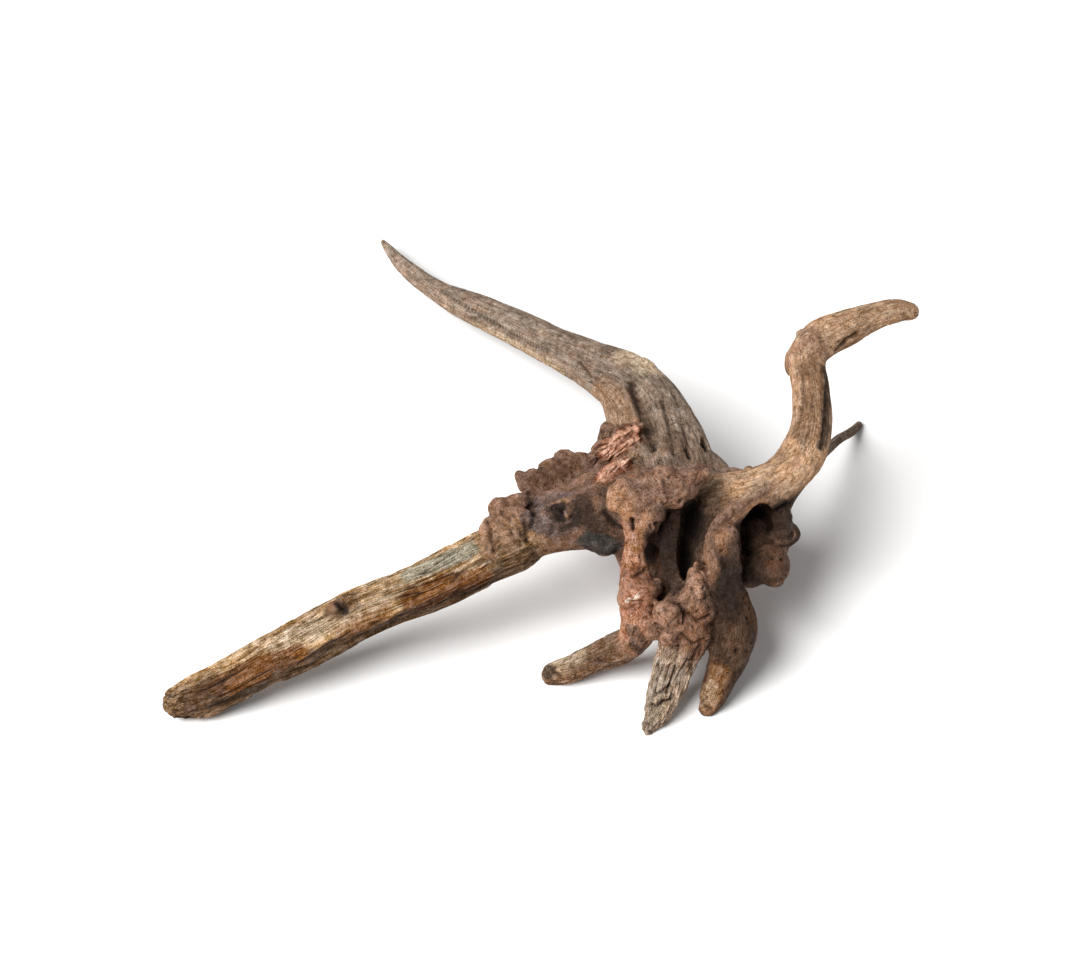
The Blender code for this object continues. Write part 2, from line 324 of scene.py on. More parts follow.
PLATES = {
    "frill_1": ((2, -52, 74, 7, 4), (-6, -44, 79, 6, 3), (-12, -37, 83, 3.5, 2)),
    "frill_2": ((10, -48, 74, 7, 4), (1, -41, 80, 7, 3), (-4, -38, 82, 6, 2)),
    "frill_3": ((14, -44, 76, 8, 4), (8, -37, 82, 8, 3), (5, -33, 84, 7, 2)),
    "frill_4": ((20, -42, 78, 8, 4), (16, -34, 83, 8, 3), (14, -28, 86, 8, 2)),
    "frill_5": ((27, -40, 80, 8, 4), (25, -33, 84, 8, 3), (23, -29, 85, 8, 2)),
    "frill_6": ((34, -38, 82, 7, 5), (30, -32, 86, 6, 3.5), (33, -26, 88, 4.5, 2.5)),
    "torn_1": (
        (33, -33, 90, 7, 2.5),
        (42, -30, 96, 10, 3),
        (50, -24, 100, 10, 3),
        (56, -18, 100, 6, 2),
    ),
    "torn_2": ((33, -60, 94, 5, 2.5), (41, -51, 97, 7, 3), (49, -42, 98, 4.5, 2)),
    "crest": (
        (136, -55, 97, 4, 3),
        (122, -66, 98, 4, 3),
        (112, -75, 96, 3.5, 3),
        (102, -84, 95, 3.2, 3),
        (97, -91, 92, 3.2, 3.2),
        (95, -96, 87, 3.2, 3.5),
        (97, -100, 81, 3, 4),
        (99, -104, 75, 3, 4),
    ),
    "fin": (
        (44, -34, 84, 9, 5),
        (41, -27, 89, 8, 4),
        (40, -16, 91, 7, 3.5),
        (39, -7, 92, 4.5, 3),
    ),
}
print(len(LIMBS), "limbs and", len(PLATES), "plates")

# %% [markdown]
# # A limb as a surface
#
# A limb has no flat faces and no constant section, so it isn't a cylinder. Its surface is a
# function of two numbers: how far along the path, and the angle round it. The path and both
# half widths come from the stations by a cubic that passes through every one of them.

# %% A smooth path through the stations
STEPS = 10
FRONT = np.array([0.0, -math.sqrt(0.5), math.sqrt(0.5)])


def unit(vectors):
    """Vectors divided by their own length."""
    return vectors / np.maximum(np.linalg.norm(vectors, axis=-1, keepdims=True), 1e-9)


def filled(stations):
    """Each column follows a cubic between two stations, whose slope at a station is half the
    step between that station's neighbours."""
    rows = np.array(stations, float)
    padded = np.vstack([2 * rows[0] - rows[1], rows, 2 * rows[-1] - rows[-2]])[:, None]
    before, start, end, after = padded[:-3], padded[1:-2], padded[2:-1], padded[3:]
    t = (np.arange(STEPS) / STEPS)[None, :, None]
    bend = 2 * before - 5 * start + 4 * end - after
    twist = 3 * start - before - 3 * end + after
    spans = start + 0.5 * ((end - before) * t + bend * t**2 + twist * t**3)
    return np.vstack([spans.reshape(-1, rows.shape[1]), rows[-1]])


def directions(centres):
    """At each point of a path: the way along it, the way across the front view, and the way out
    of its broad side, which is across turned a quarter about along."""
    along = unit(np.gradient(centres, axis=0))
    across = unit(np.cross(along, FRONT))
    return along, across, np.cross(across, along)


print("long limb filled to", len(filled(LIMBS["long_limb"])), "rows")

# %% Close a grid of points into a shell
DOME = ((0.5, 0.87), (0.87, 0.5))


def shell(grid, first, last, start):
    """Faces of a grid whose columns go round, with a fan to a pole at each end. A face runs one
    row on, then one column on, so that it looks outward. start is the number of the first point."""
    rows, columns = grid.shape[:2]
    index = start + np.arange(rows * columns).reshape(rows, columns)
    turned = np.roll(index, -1, axis=1)
    quads = np.stack([index[:-1], index[1:], turned[1:], turned[:-1]], axis=-1).reshape(-1, 4)
    poles = start + rows * columns + np.array([0, 1])
    near = np.stack([np.full(columns, poles[0]), index[0], turned[0]], axis=-1)
    far = np.stack([np.full(columns, poles[1]), turned[-1], index[-1]], axis=-1)
    points = np.vstack([grid.reshape(-1, 3), first, last])
    return points, quads.tolist() + near.tolist() + far.tolist()


def limb_surface(stations, start, sides=28):
    """Point = centre(s) + across(s) width(s) cos(angle) + out(s) depth(s) sin(angle), where each
    end closes in a dome: rows half a width and 0.87 widths further on, 0.87 and 0.5 as wide."""
    rows = filled(stations)
    for _ in range(2):
        rows = rows[::-1]
        ahead = unit(rows[-1, :3] - rows[-2, :3]) * rows[-1, 3]
        caps = [np.r_[rows[-1, :3] + reach * ahead, width * rows[-1, 3:]] for reach, width in DOME]
        rows = np.vstack([rows, caps])
    along, across, out = directions(rows[:, :3])
    angle = 2 * math.pi * np.arange(sides) / sides
    wide = across[:, None] * (np.maximum(rows[:, 3, None], 1) * np.cos(angle))[..., None]
    deep = out[:, None] * (np.maximum(rows[:, 4, None], 1) * np.sin(angle))[..., None]
    grid = rows[:, None, :3] + wide + deep
    return shell(grid, rows[0, :3] - along[0], rows[-1, :3] + along[-1], start)


print("the horn's surface has", len(limb_surface(LIMBS["swept_horn"], 0)[0]), "points")

# %% [markdown]
# # Lumps and hollows
#
# A burl grows as rounded swellings, so they are ellipsoids. Their three half sizes run across
# the front view, up it, and along the line of sight. Lumps are the big swellings under the
# skin, and knobs are the small ones that sit on it. The same surface, cut away instead of added,
# makes the hollows, and a limb cut away makes a groove.

# %% An ellipsoid as a surface
def lump_surface(x, y, z, wide, tall, deep, start, rows=17, columns=32):
    """Point = centre + right wide cos(a) cos(b) + up tall sin(b) + front deep sin(a) cos(b), with
    a going round and b from pole to pole."""
    b = np.linspace(-0.5, 0.5, rows)[1:-1, None, None] * math.pi
    a = -2 * math.pi * np.arange(columns)[None, :, None] / columns
    right = np.array([1.0, 0.0, 0.0])
    centre = np.array([x, y, z], float)
    grid = centre + (right * wide * np.cos(a) + FRONT * deep * np.sin(a)) * np.cos(b)
    grid = grid + UP_VIEW * tall * np.sin(b)
    return shell(grid, centre - UP_VIEW * tall, centre + UP_VIEW * tall, start)


print("a lump's surface has", len(lump_surface(0, 0, 0, 1, 1, 1, 0)[0]), "points")

# %% Lumps of the burl, and the hollows between them
LUMPS = (
    (76, -34, 66, 40, 30, 30),
    (104, -46, 68, 34, 22, 24),
    (50, -52, 72, 26, 26, 24),
    (80, -68, 56, 38, 31, 18),
    (88, -98, 50, 27, 19, 15),
    (64, -118, 47, 10, 11, 9),
    (124, -62, 54, 22, 20, 12),
    (36, -82, 72, 9, 7, 8),
    (7, -58, 77, 14, 11, 10),
    (18, -56, 81, 14, 10, 10),
    (29, -50, 84, 12, 10, 10),
    (37, -42, 84, 10, 10, 9),
    (81, -120, 54, 14, 16, 10),
    (149, 21, 118, 6.5, 10, 8),
    (62, 50, 82, 9, 6, 6),
    (-206, -146, 8, 8, 7, 7),
    (-190, -146, 8, 12, 8, 8),
    (157, 22, 127, 11, 12, 10),
)
KNOBS = (
    (51, -110, 72, 6.5, 6.5, 7),
    (58, -114, 67, 9, 8, 8),
    (49, -115, 64, 6, 7, 7),
    (65, -108, 64, 5, 6, 6),
    (-22, -63, 82, 8, 7, 8),
    (-13, -61, 84, 8, 7, 7),
    (-15, -71, 82, 9, 8, 7),
    (-26, -75, 77, 9, 8, 9),
    (-28, -86, 73, 7, 8, 7),
    (-17, -82, 76, 8, 8, 8),
    (-8, -73, 82, 6, 7, 6),
    (15, -78, 93, 3.5, 3.5, 4.5),
    (65, -82, 97, 6, 6, 6),
    (61, -86, 91, 5.5, 5.5, 5.5),
    (57, -90, 84, 5, 5, 5),
    (131, -86, 59, 12.5, 12.5, 12.5),
    (122, -87, 53, 9, 9, 9),
    (127, -70, 60, 9, 9, 9),
    (125, -60, 61, 9, 9, 9),
    (139, -63, 75, 6.5, 7, 9),
    (140, -68, 67, 7.5, 7, 8),
    (152.5, 27.4, 129.2, 4.4, 4.2, 5),
    (103, -90, 86, 8.5, 8.5, 8),
    (105, -94, 78, 8, 8, 8),
    (106, -98, 70, 8, 8, 8),
    (88, -107, 70.5, 6.5, 6.5, 6.5),
    (87, -113, 66, 8, 9, 8),
    (91, -118, 57, 8.5, 10, 8),
    (85, -124, 50, 9, 9, 9),
    (91, -124, 44, 7, 8, 8),
    (79, -115, 62, 7, 7, 7),
    (72, -125, 62, 9, 8.5, 8),
    (79, -126, 55, 7, 7, 7),
    (72, -133, 50, 5.5, 6, 6),
    (81, -129, 42, 8, 7, 7),
    (43, -76, 103, 6.5, 8, 7),
    (51, -80, 99, 7, 8, 7),
    (57, -83, 95, 6, 7, 7),
    (58, -86, 90, 5.5, 7, 7),
    (55, -90, 83, 5.5, 7, 7),
    (48, -72, 107, 7, 6.5, 7),
    (56, -75, 104, 9, 9, 8),
    (61, -68, 110, 8, 6.5, 7),
    (70, -67, 112, 8, 6.5, 7),
    (69, -74, 106, 9, 8, 7),
    (78, -72, 108, 8, 7, 7),
    (85, -68, 110, 8, 6, 7),
    (91, -64, 113, 5, 5, 6),
    (76, -76, 102, 6, 6, 6),
    (84, -72, 106, 6, 5.5, 6),
    (6, -71, 86, 7, 7, 4),
    (15, -73, 88, 7, 7, 5),
    (154, 36, 126, 4.5, 4.5, 7),
    (51, -121, 30, 8, 8, 8),
    (-115, -114, 53, 5.5, 5, 5),
    (119, -46, 96, 3.5, 3, 4),
)
HOLLOWS = (
    (87, -82, 90, 8, 16, 24),
    (83, -94, 76, 5.5, 16, 20),
    (98, -76, 96, 9, 14, 12),
    (124, -76, 74, 12, 20, 26),
    (121, -90, 64, 9, 17, 24),
    (86, -50, 22, 34, 20, 22),
    (95, -23, 92, 2.4, 9, 6),
)
GROOVES = (
    (
        (52, 42, 91, 3, 4),
        (57, 26, 94, 3.5, 5),
        (61, 8, 98, 4, 6),
        (65, -9, 100, 4, 6),
        (67, -24, 102, 3.5, 5),
    ),
)
print(len(LUMPS), "lumps,", len(KNOBS), "knobs and", len(HOLLOWS), "hollows")

# %% [markdown]
# # One skin
#
# Limbs and lumps overlap, but a grown root has a single skin that flows from one into the next.
# A voxel remesh walks round the whole heap and leaves only that skin, a few rounds of smoothing
# fill the creases as wood does when it grows, and a Boolean takes the hollows out. Knobs and
# thin plates grew last. They are fused by themselves, with smaller voxels so that they stay
# crisp, and added after the cut so that no hollow cuts them. The last and finest remesh joins
# both and gives even faces that are small enough for the grain.

# %% Put shells into one mesh and settle modifiers
COARSE = 1.7
LATE = 1.1
FINE = 0.72
SOFTENING = 4


def heap(name, shells):
    """One object that holds every shell of a list."""
    points, faces, count = [], [], 0
    for make in shells:
        shell_points, shell_faces = make(count)
        points.append(shell_points)
        faces += shell_faces
        count += len(shell_points)
    mesh = bpy.data.meshes.new(name)
    mesh.from_pydata(placed(np.vstack(points)), [], faces)
    obj = bpy.data.objects.new(name, mesh)
    bpy.context.scene.collection.objects.link(obj)
    return obj


def remesh(obj, size, name):
    """A voxel remesh of that many millimetres."""
    modifier = obj.modifiers.new(name, "REMESH")
    modifier.mode = "VOXEL"
    modifier.voxel_size = size * MM


def soften(obj, rounds, name):
    """Moves every point halfway to the middle of its neighbours, a number of times."""
    modifier = obj.modifiers.new(name, "SMOOTH")
    modifier.factor = 0.5
    modifier.iterations = rounds


def settle(obj):
    """Makes the modifiers' result the object's own mesh."""
    graph = bpy.context.evaluated_depsgraph_get()
    mesh = bpy.data.meshes.new_from_object(obj.evaluated_get(graph))
    obj.modifiers.clear()
    obj.data = mesh


print("voxels of", COARSE, "mm for limbs,", LATE, "mm for late growth, then", FINE, "mm for all")

# %% Fuse the skin
body = heap(
    "skin",
    [lambda n, rows=rows: limb_surface(rows, n) for rows in LIMBS.values()]
    + [lambda n, lump=lump: lump_surface(*lump, n) for lump in LUMPS],
)
hollows = heap(
    "hollows",
    [lambda n, lump=lump: lump_surface(*lump, n) for lump in HOLLOWS]
    + [lambda n, rows=rows: limb_surface(rows, n) for rows in GROOVES],
)
late = heap(
    "late_growth",
    [lambda n, rows=rows: limb_surface(rows, n) for rows in PLATES.values()]
    + [lambda n, lump=lump: lump_surface(*lump, n) for lump in KNOBS],
)
remesh(hollows, COARSE, "fuse")
settle(hollows)
remesh(late, LATE, "fuse")
soften(late, 3, "grow_together")
settle(late)
remesh(body, COARSE, "fuse")
soften(body, SOFTENING, "grow_together")
difference = body.modifiers.new("hollows", "BOOLEAN")
difference.operation = "DIFFERENCE"
difference.object = hollows
settle(body)
sheet = bmesh.new()
sheet.from_mesh(body.data)
sheet.from_mesh(late.data)
sheet.to_mesh(body.data)
sheet.free()
bpy.data.objects.remove(late)
remesh(body, FINE, "even")
soften(body, 2, "even_out")
settle(body)
bpy.data.objects.remove(hollows)
print("skin of", len(body.data.vertices), "points")

# %% [markdown]
# # Forks
#
# The solid model is sawn into nodes at its main forks, and each node needs its own piece here.
# The saw planes are scored into the skin before anything else happens to it, so that two
# neighbours share the very same edge and no gap can show.

# %% The block that holds each limb
FORKS = {
    "long_limb": ((-30, -82, 63), (-1, -0.35, -0.3), (0, 1, 0), 230, (60, 60), (60, 60)),
    "swept_horn": ((66, 4, 82), (-0.15, 1, -0.1), (1, 0, 0), 300, (230, 44), (110, 60)),
    "raised_antler": ((142, -48, 98), (0.75, 0.6, 0.25), (0.6, -0.75, 0), 160, (90, 30), (24, 70)),
    "left_foot": ((50, -119, 29), (-1, -0.02, -0.3), (0, 1, 0), 80, (20, 24), (34, 16)),
    "splintered_foot": ((82, -126, 39), (-0.2, -0.5, -0.8), (1, 0, 0), 70, (20, 11), (22, 22)),
    "right_foot": ((109, -122, 40), (-0.15, -0.45, -0.85), (1, 0, 0), 60, (13, 26), (24, 24)),
    "back_twig": ((152, -16, 56), (0.4, 0.75, -0.45), (0.9, -0.4, 0), 140, (24, 24), (24, 16)),
}


def block(name):
    """Six planes around one limb, as rows of a point on the plane and the way out of the block:
    back at the fork, at the limb's reach, to both sides, below and above."""
    point, out, right, reach, (left, wide), (below, above) = FORKS[name]
    forward = unit(np.array(out, float))
    up = unit(np.cross(forward, right))
    up = up * (1 if up[2] > 0 else -1)
    side = unit(np.cross(up, forward))
    side = side * (1 if side @ np.array(right, float) > 0 else -1)
    origin = np.array(point, float)
    ways = np.stack([-forward, forward, -side, side, -up, up])
    far = np.array([0, reach, left, wide, below, above], float)
    return origin + ways * far[:, None], ways


def outside(points, name):
    """How far each point is outside the nearest plane of a block, below zero inside it."""
    origins, ways = block(name)
    return np.max(points @ ways.T - np.sum(origins * ways, axis=1), axis=1)


print("blocks:", ", ".join(FORKS))

# %% Score the saw planes into the skin
def arrays_of(mesh):
    """Points of a mesh in layout millimetres."""
    points = np.empty(len(mesh.vertices) * 3, np.float32)
    mesh.vertices.foreach_get("co", points)
    return points.reshape(-1, 3).astype(float) / MM + MIDDLE


def score(mesh):
    """Cuts the faces that cross a plane of a block, near that block, along the plane."""
    points = arrays_of(mesh)
    sheet = bmesh.new()
    sheet.from_mesh(mesh)
    corners = list(sheet.verts)
    for name in FORKS:
        origins, ways = block(name)
        close = outside(points, name) < 2 * FINE
        for origin, way in zip(origins, ways):
            near = (np.abs((points - origin) @ way) < 2 * FINE) & close
            if not near.any():
                continue
            verts = [corners[i] for i in np.flatnonzero(near)]
            faces = list({face for vert in verts for face in vert.link_faces})
            edges = list({edge for face in faces for edge in face.edges})
            rim = list({vert for face in faces for vert in face.verts})
            bmesh.ops.bisect_plane(
                sheet,
                geom=rim + edges + faces,
                plane_co=placed(origin),
                plane_no=way,
                dist=1e-6,
            )
    sheet.to_mesh(mesh)
    sheet.free()


score(body.data)
body.data.calc_loop_triangles()
triangles = np.empty(len(body.data.loop_triangles) * 3, np.int32)
body.data.loop_triangles.foreach_get("vertices", triangles)
triangles = triangles.reshape(-1, 3)
smooth_points = arrays_of(body.data)
print("scored skin:", len(smooth_points), "points,", len(triangles), "triangles")

# %% [markdown]
# # One island per node
#
# A remesh can leave crumbs that float beside the wood, and real wood has none. Triangles that
# share an edge belong together, so islands can be told apart, and all but the largest are
# dropped. Each node has to be one island as well. Selecting linked parts by hand does the same,
# but would have to be done again after every change.

# %% Islands of triangles
def touching(triangles):
    """Pairs of triangles that share an edge: the edges are sorted, and equal ones lie together."""
    edges = np.sort(triangles[:, [0, 1, 1, 2, 2, 0]].reshape(-1, 2), axis=1)
    key = edges[:, 0].astype(np.int64) * (edges.max() + 1) + edges[:, 1]
    order = np.argsort(key, kind="stable")
    same = np.diff(key[order]) == 0
    return order[:-1][same] // 3, order[1:][same] // 3


def islands(first, second, count):
    """Number of the island of every triangle: each takes the smallest number held by itself and
    its neighbours, then the number held by that triangle, until nothing changes."""
    label = np.arange(count)
    while True:
        low = label.copy()
        np.minimum.at(low, first, label[second])
        np.minimum.at(low, second, label[first])
        low = low[low]
        if np.array_equal(low, label):
            return label
        label = low


label = islands(*touching(triangles), len(triangles))
whole_wood = label == np.bincount(label).argmax()
print("crumbs dropped:", np.sum(~whole_wood), "triangles")
used, flat = np.unique(triangles[whole_wood], return_inverse=True)
smooth_points, triangles = smooth_points[used], flat.reshape(-1, 3)

# %% Give each triangle its node
NODES = ["burl", *FORKS]
centres = smooth_points[triangles].mean(axis=1)
owner = np.zeros(len(triangles), int)
for number, name in enumerate(NODES[1:], 1):
    owner[(outside(centres, name) < 0) & (owner == 0)] = number
one_side, other_side = touching(triangles)
same = owner[one_side] == owner[other_side]
label = islands(one_side[same], other_side[same], len(triangles))
for number, name in enumerate(NODES):
    count = len(np.unique(label[owner == number]))
    print(name, np.sum(owner == number), "triangles, islands:", count)

# %% [markdown]
# # Which way a point faces
#
# Relief moves each point out or in along the direction that the skin faces there. That
# direction is the sum of the triangles around the point, each weighted by its area.

# %% Point normals
def facing(points):
    """The cross product of two sides of each triangle, summed at its corners, to length one."""
    corners = points[triangles]
    area = np.cross(corners[:, 1] - corners[:, 0], corners[:, 2] - corners[:, 0])
    total = np.zeros_like(points)
    for axis in range(3):
        for corner in range(3):
            total[:, axis] += np.bincount(triangles[:, corner], area[:, axis], len(points))
    return unit(total)


smooth_normals = facing(smooth_points)
print("mean height of the normals:", round(float(smooth_normals[:, 2].mean()), 3))

# %% [markdown]
# # Noise
#
# Weathered wood is irregular at every scale, so its relief is made from noise. Space is divided
# into unit cells whose corners each hold a random slope, and a point blends the slopes of its
# eight corners. A fixed seed gives the same wood at every run.

# %% Gradient noise
random = np.random.default_rng(7)
ORDER = random.permutation(256)
SLOPES = unit(random.normal(size=(256, 3)))


def noise(points, seed=0):
    """At a point of unit cells: the slopes at the eight corners times the way from each corner,
    blended by 6t^5 - 15t^4 + 10t^3 in each direction. The result is about -0.6 to 0.6."""
    cell = np.floor(points).astype(int)
    inside = points - cell
    fade = inside**3 * (inside * (inside * 6 - 15) + 10)
    total = np.zeros(len(points))
    for corner in np.ndindex(2, 2, 2):
        x, y, z = ((cell + corner).T + seed * np.array([[17], [31], [57]])) & 255
        slope = SLOPES[ORDER[(ORDER[(ORDER[x] + y) & 255] + z) & 255]]
        share = np.prod(np.where(corner, fade, 1 - fade), axis=1)
        total += share * np.sum(slope * (inside - corner), axis=1)
    return total


def layered(points, seed=0, layers=3):
    """Noise plus half as much at twice the rate, and so on."""
    return sum(noise(points * 2**n, seed + n) / 2**n for n in range(layers))


def ramp(values, low, high):
    """0 below low and 1 above high, with a smooth step between."""
    t = np.clip((values - low) / (high - low), 0, 1)
    return t * t * (3 - 2 * t)


def creases(values, width):
    """1 where the noise crosses zero, falling to 0 at plus or minus width."""
    return np.clip(1 - np.abs(values) / width, 0, 1)


def terraces(values, levels):
    """Values gathered onto flat levels with steep steps between, as wood that splits in sheets."""
    scaled = values * levels
    floor_of = np.floor(scaled)
    return (floor_of + ramp(scaled - floor_of, 0.38, 0.62)) / levels


print("noise of the first three points:", np.round(noise(smooth_points[:3] / 10), 3))

# %% [markdown]
# # Grain
#
# Wood splits along its limbs. Every point of the skin therefore needs three grain numbers: how
# far along its limb it lies, how far to the side and how far out. Where limbs meet, their
# grains are mixed by how close the point is to each, and on the lumps there is no grain.

# %% Distance of every point from every limb
CHUNK = 40000


def nearest(points, others):
    """For each point the nearest of the others, and its distance: the square of the difference
    is the two squares minus twice the product, worked out in blocks."""
    squares = np.sum(others**2, axis=1)
    found, gaps = [], []
    for block_start in range(0, len(points), CHUNK):
        part = points[block_start : block_start + CHUNK]
        table = squares - 2 * part @ others.T
        best = np.argmin(table, axis=1)
        found.append(best)
        gaps.append(table[np.arange(len(part)), best] + np.sum(part**2, axis=1))
    return np.concatenate(found), np.sqrt(np.maximum(np.concatenate(gaps), 0))


def grain_of(stations, points):
    """Place along, across and out of the nearest row of a limb, and the distance from its axis
    as a share of the limb's half width there."""
    rows = filled(stations)
    along, across, out = directions(rows[:, :3])
    lengths = np.r_[0, np.cumsum(np.linalg.norm(np.diff(rows[:, :3], axis=0), axis=1))]
    index, _ = nearest(points, rows[:, :3])
    away = points - rows[index, :3]
    side = np.sum(away * across[index], axis=1)
    outward = np.sum(away * out[index], axis=1)
    forward = np.sum(away * along[index], axis=1)
    closeness = np.sqrt(
        (side / rows[index, 3]) ** 2
        + (outward / rows[index, 4]) ** 2
        + (forward / rows[index, 3]) ** 2
    )
    return np.stack([lengths[index] + forward, side, outward], axis=1), closeness, index


twig_end = np.array([LIMBS["back_twig"][-1][:3]], float)
print("the twig is", round(float(grain_of(LIMBS["back_twig"], twig_end)[0][0, 0])), "mm long")

# %% Grain numbers and shares
HOLD = 7.0
STRANDS = LIMBS | PLATES
grains, shares, turns = {}, {}, {}
for name, stations in STRANDS.items():
    grain, closeness, index = grain_of(stations, smooth_points)
    rows = filled(stations)
    turns[name] = grain[:, 1] / rows[index, 3]
    grains[name] = grain
    shares[name] = np.exp(-HOLD * np.maximum(closeness - 0.85, 0))
lump_share = np.zeros(len(smooth_points))
weights = [0.35] * len(LUMPS) + [1.0] * len(KNOBS)
for weight, (x, y, z, wide, tall, deep) in zip(weights, LUMPS + KNOBS):
    away = smooth_points - (x, y, z)
    size = np.stack([away[:, 0] / wide, away @ UP_VIEW / tall, away @ FRONT / deep], axis=1)
    closeness = np.linalg.norm(size, axis=1)
    lump_share = np.maximum(lump_share, weight * np.exp(-HOLD * np.maximum(closeness - 0.85, 0)))
whole = sum(shares.values()) + lump_share + 1e-6
shares = {name: share / whole for name, share in shares.items()}
lump_share = lump_share / whole
print({name: round(float(share.mean()), 3) for name, share in shares.items()})

# %% [markdown]
# # Relief by kind of wood
#
# Each limb weathers in its own way. The long limb splits in sheets with open cracks, the horn
# has fine even fibres, the antler is worn smooth with small pits, and the splintered foot is
# torn open. Each row says how high the sheets, fibres, cracks and pits are, in millimetres.

# %% Sheets, fibres, cracks and pits of each limb
WEATHER = {
    "long_limb": dict(sheets=3.2, fibres=0.5, cracks=1.5, pits=0.2, width=2.1, reach=34),
    "shoulder": dict(sheets=0.6, fibres=0.15, cracks=0.1, pits=0.5, width=2.6, reach=20),
    "swept_horn": dict(sheets=1.0, fibres=0.32, cracks=0.6, pits=0.3, width=2.0, reach=40),
    "raised_antler": dict(sheets=0.9, fibres=0.16, cracks=0.25, pits=0.6, width=2.6, reach=26),
    "column": dict(sheets=0.9, fibres=0.3, cracks=0.4, pits=1.0, width=2.4, reach=8),
    "left_foot": dict(sheets=1.5, fibres=0.4, cracks=0.8, pits=0.7, width=2.3, reach=20),
    "splintered_foot": dict(sheets=2.4, fibres=0.8, cracks=1.3, pits=0.4, width=1.7, reach=14),
    "right_foot": dict(sheets=1.1, fibres=0.25, cracks=0.3, pits=0.8, width=2.6, reach=14),
    "back_twig": dict(sheets=0.3, fibres=0.2, cracks=0.2, pits=0.1, width=2.0, reach=16),
    "blade": dict(sheets=0.5, fibres=0.2, cracks=0.1, pits=0.4, width=2.6, reach=16),
    "blade_face": dict(sheets=0.5, fibres=0.2, cracks=0.2, pits=0.6, width=2.6, reach=10),
    "saddle": dict(sheets=0.5, fibres=0.2, cracks=0.1, pits=0.5, width=2.6, reach=16),
    "horn_rim": dict(sheets=1.2, fibres=0.4, cracks=0.6, pits=0.4, width=2.2, reach=14),
    "crown_ledge": dict(sheets=0.5, fibres=0.1, cracks=0.1, pits=0.9, width=2.6, reach=6),
    "plate": dict(sheets=0.8, fibres=0.3, cracks=0.5, pits=0.6, width=3.2, reach=6),
    "torn_1": dict(sheets=4.0, fibres=0.7, cracks=2.2, pits=0.3, width=1.5, reach=7),
    "torn_2": dict(sheets=3.5, fibres=0.7, cracks=2.0, pits=0.3, width=1.5, reach=7),
    "hollow_ridge": dict(sheets=0.8, fibres=0.3, cracks=0.4, pits=0.8, width=2.6, reach=10),
    "under_strand": dict(sheets=0.6, fibres=0.3, cracks=0.3, pits=0.4, width=2.6, reach=12),
}


def limb_relief(name, chosen, seed):
    """Sheets are terraces of slow noise, fibres fast noise drawn out along the limb, cracks
    narrow creases, and pits the tops of an even noise pushed in. The second result is how deep
    a crack or pit goes, from 0 to 1, and later darkens the colour there as painted shade."""
    weather = WEATHER.get(name, WEATHER["plate"])
    grain = grains[name][chosen]
    across = grain / (weather["reach"], weather["width"], weather["width"])
    broad = 3.2 if name.startswith("torn") else 8.0
    slow = layered(grain / (weather["reach"] * 2.2, broad, broad), seed)
    sheets = terraces(slow + 0.12 * noise(across * 0.5, seed + 1), 3) * weather["sheets"]
    fibres = layered(across, seed + 2, 2) * weather["fibres"] * 1.6
    crack = creases(noise(across * (0.8, 0.45, 0.45), seed + 3), 0.10)
    crack *= ramp(noise(grain / (30, 9, 9), seed + 4), -0.05, 0.2)
    pit = ramp(noise(smooth_points[chosen] / 3.2, seed + 5), 0.22, 0.45)
    height = sheets + fibres - crack * weather["cracks"] - pit * weather["pits"]
    return height, np.clip(crack * weather["cracks"] * 0.7 + pit * weather["pits"] * 0.6, 0, 1)


print(len(WEATHER), "kinds of weathering")

# %% Relief of the lumps, and the mix over the skin
def lump_relief(seed):
    """Round swellings: noise without its sign rises on both sides of a fold where it crosses zero,
    two finer noises are added, and wrinkles and pits are pushed in."""
    bent = smooth_points + 2.5 * np.stack([noise(smooth_points / 9, seed + n) for n in range(3)], 1)
    fold = noise(bent / 13, seed + 6)
    swell = 2.0 * noise(bent / 12, seed + 3) + 3.4 * np.minimum(np.abs(fold), 0.3)
    swell += 0.8 * noise(bent / 5, seed + 4) + 0.22 * noise(bent / 2.2, seed + 5)
    wrinkle = creases(fold, 0.04) * ramp(noise(bent / 14, seed + 7), 0.0, 0.3)
    pit = ramp(noise(bent / 3.2, seed + 8), 0.31, 0.45)
    return swell - 0.8 - 0.5 * wrinkle - 1.2 * pit, np.clip(0.6 * wrinkle + 0.6 * pit, 0, 1)


relief, crevice_shade = lump_relief(100)
relief = relief * lump_share
crevice_shade = crevice_shade * lump_share
for number, name in enumerate(STRANDS):
    chosen = np.flatnonzero(shares[name] > 0.01)
    height, depth = limb_relief(name, chosen, 200 + 10 * number)
    relief[chosen] += height * shares[name][chosen]
    crevice_shade[chosen] += depth * shares[name][chosen]
print("relief from", round(relief.min(), 2), "to", round(relief.max(), 2), "mm")

# %% [markdown]
# Marks at given places
#
# The big cracks, ridges and knots sit at certain places. Each is a stroke over places in the
# image, which are dropped onto the skin along the line of sight. Then the stroke lies on the
# wood itself, and everything after that is measured along the skin in millimetres.

# %% Drop an image place onto the skin
image_places, ahead = in_image(smooth_points)
toward = smooth_normals @ -SIGHT > 0.1


def on_skin(column, row):
    """The nearest point to the eye among the points that lie within a pixel or so."""
    for width in (1.2, 2.5, 5, 10, 20):
        near = np.abs(image_places - (column, row)).max(axis=1) < width
        chosen = np.flatnonzero(near & toward)
        if len(chosen):
            return smooth_points[chosen[np.argmin(ahead[chosen])]]
    raise ValueError(f"no wood at {column}, {row}")


def stroke_path(places):
    """A stroke as places on the skin: its corners, dropped onto the wood, and eleven places on
    the straight line between each two."""
    corners = np.array([on_skin(*place) for place in places])
    steps = np.linspace(0, len(corners) - 1, 12 * (len(corners) - 1) + 1)
    return np.stack([np.interp(steps, range(len(corners)), c) for c in corners.T], axis=1)


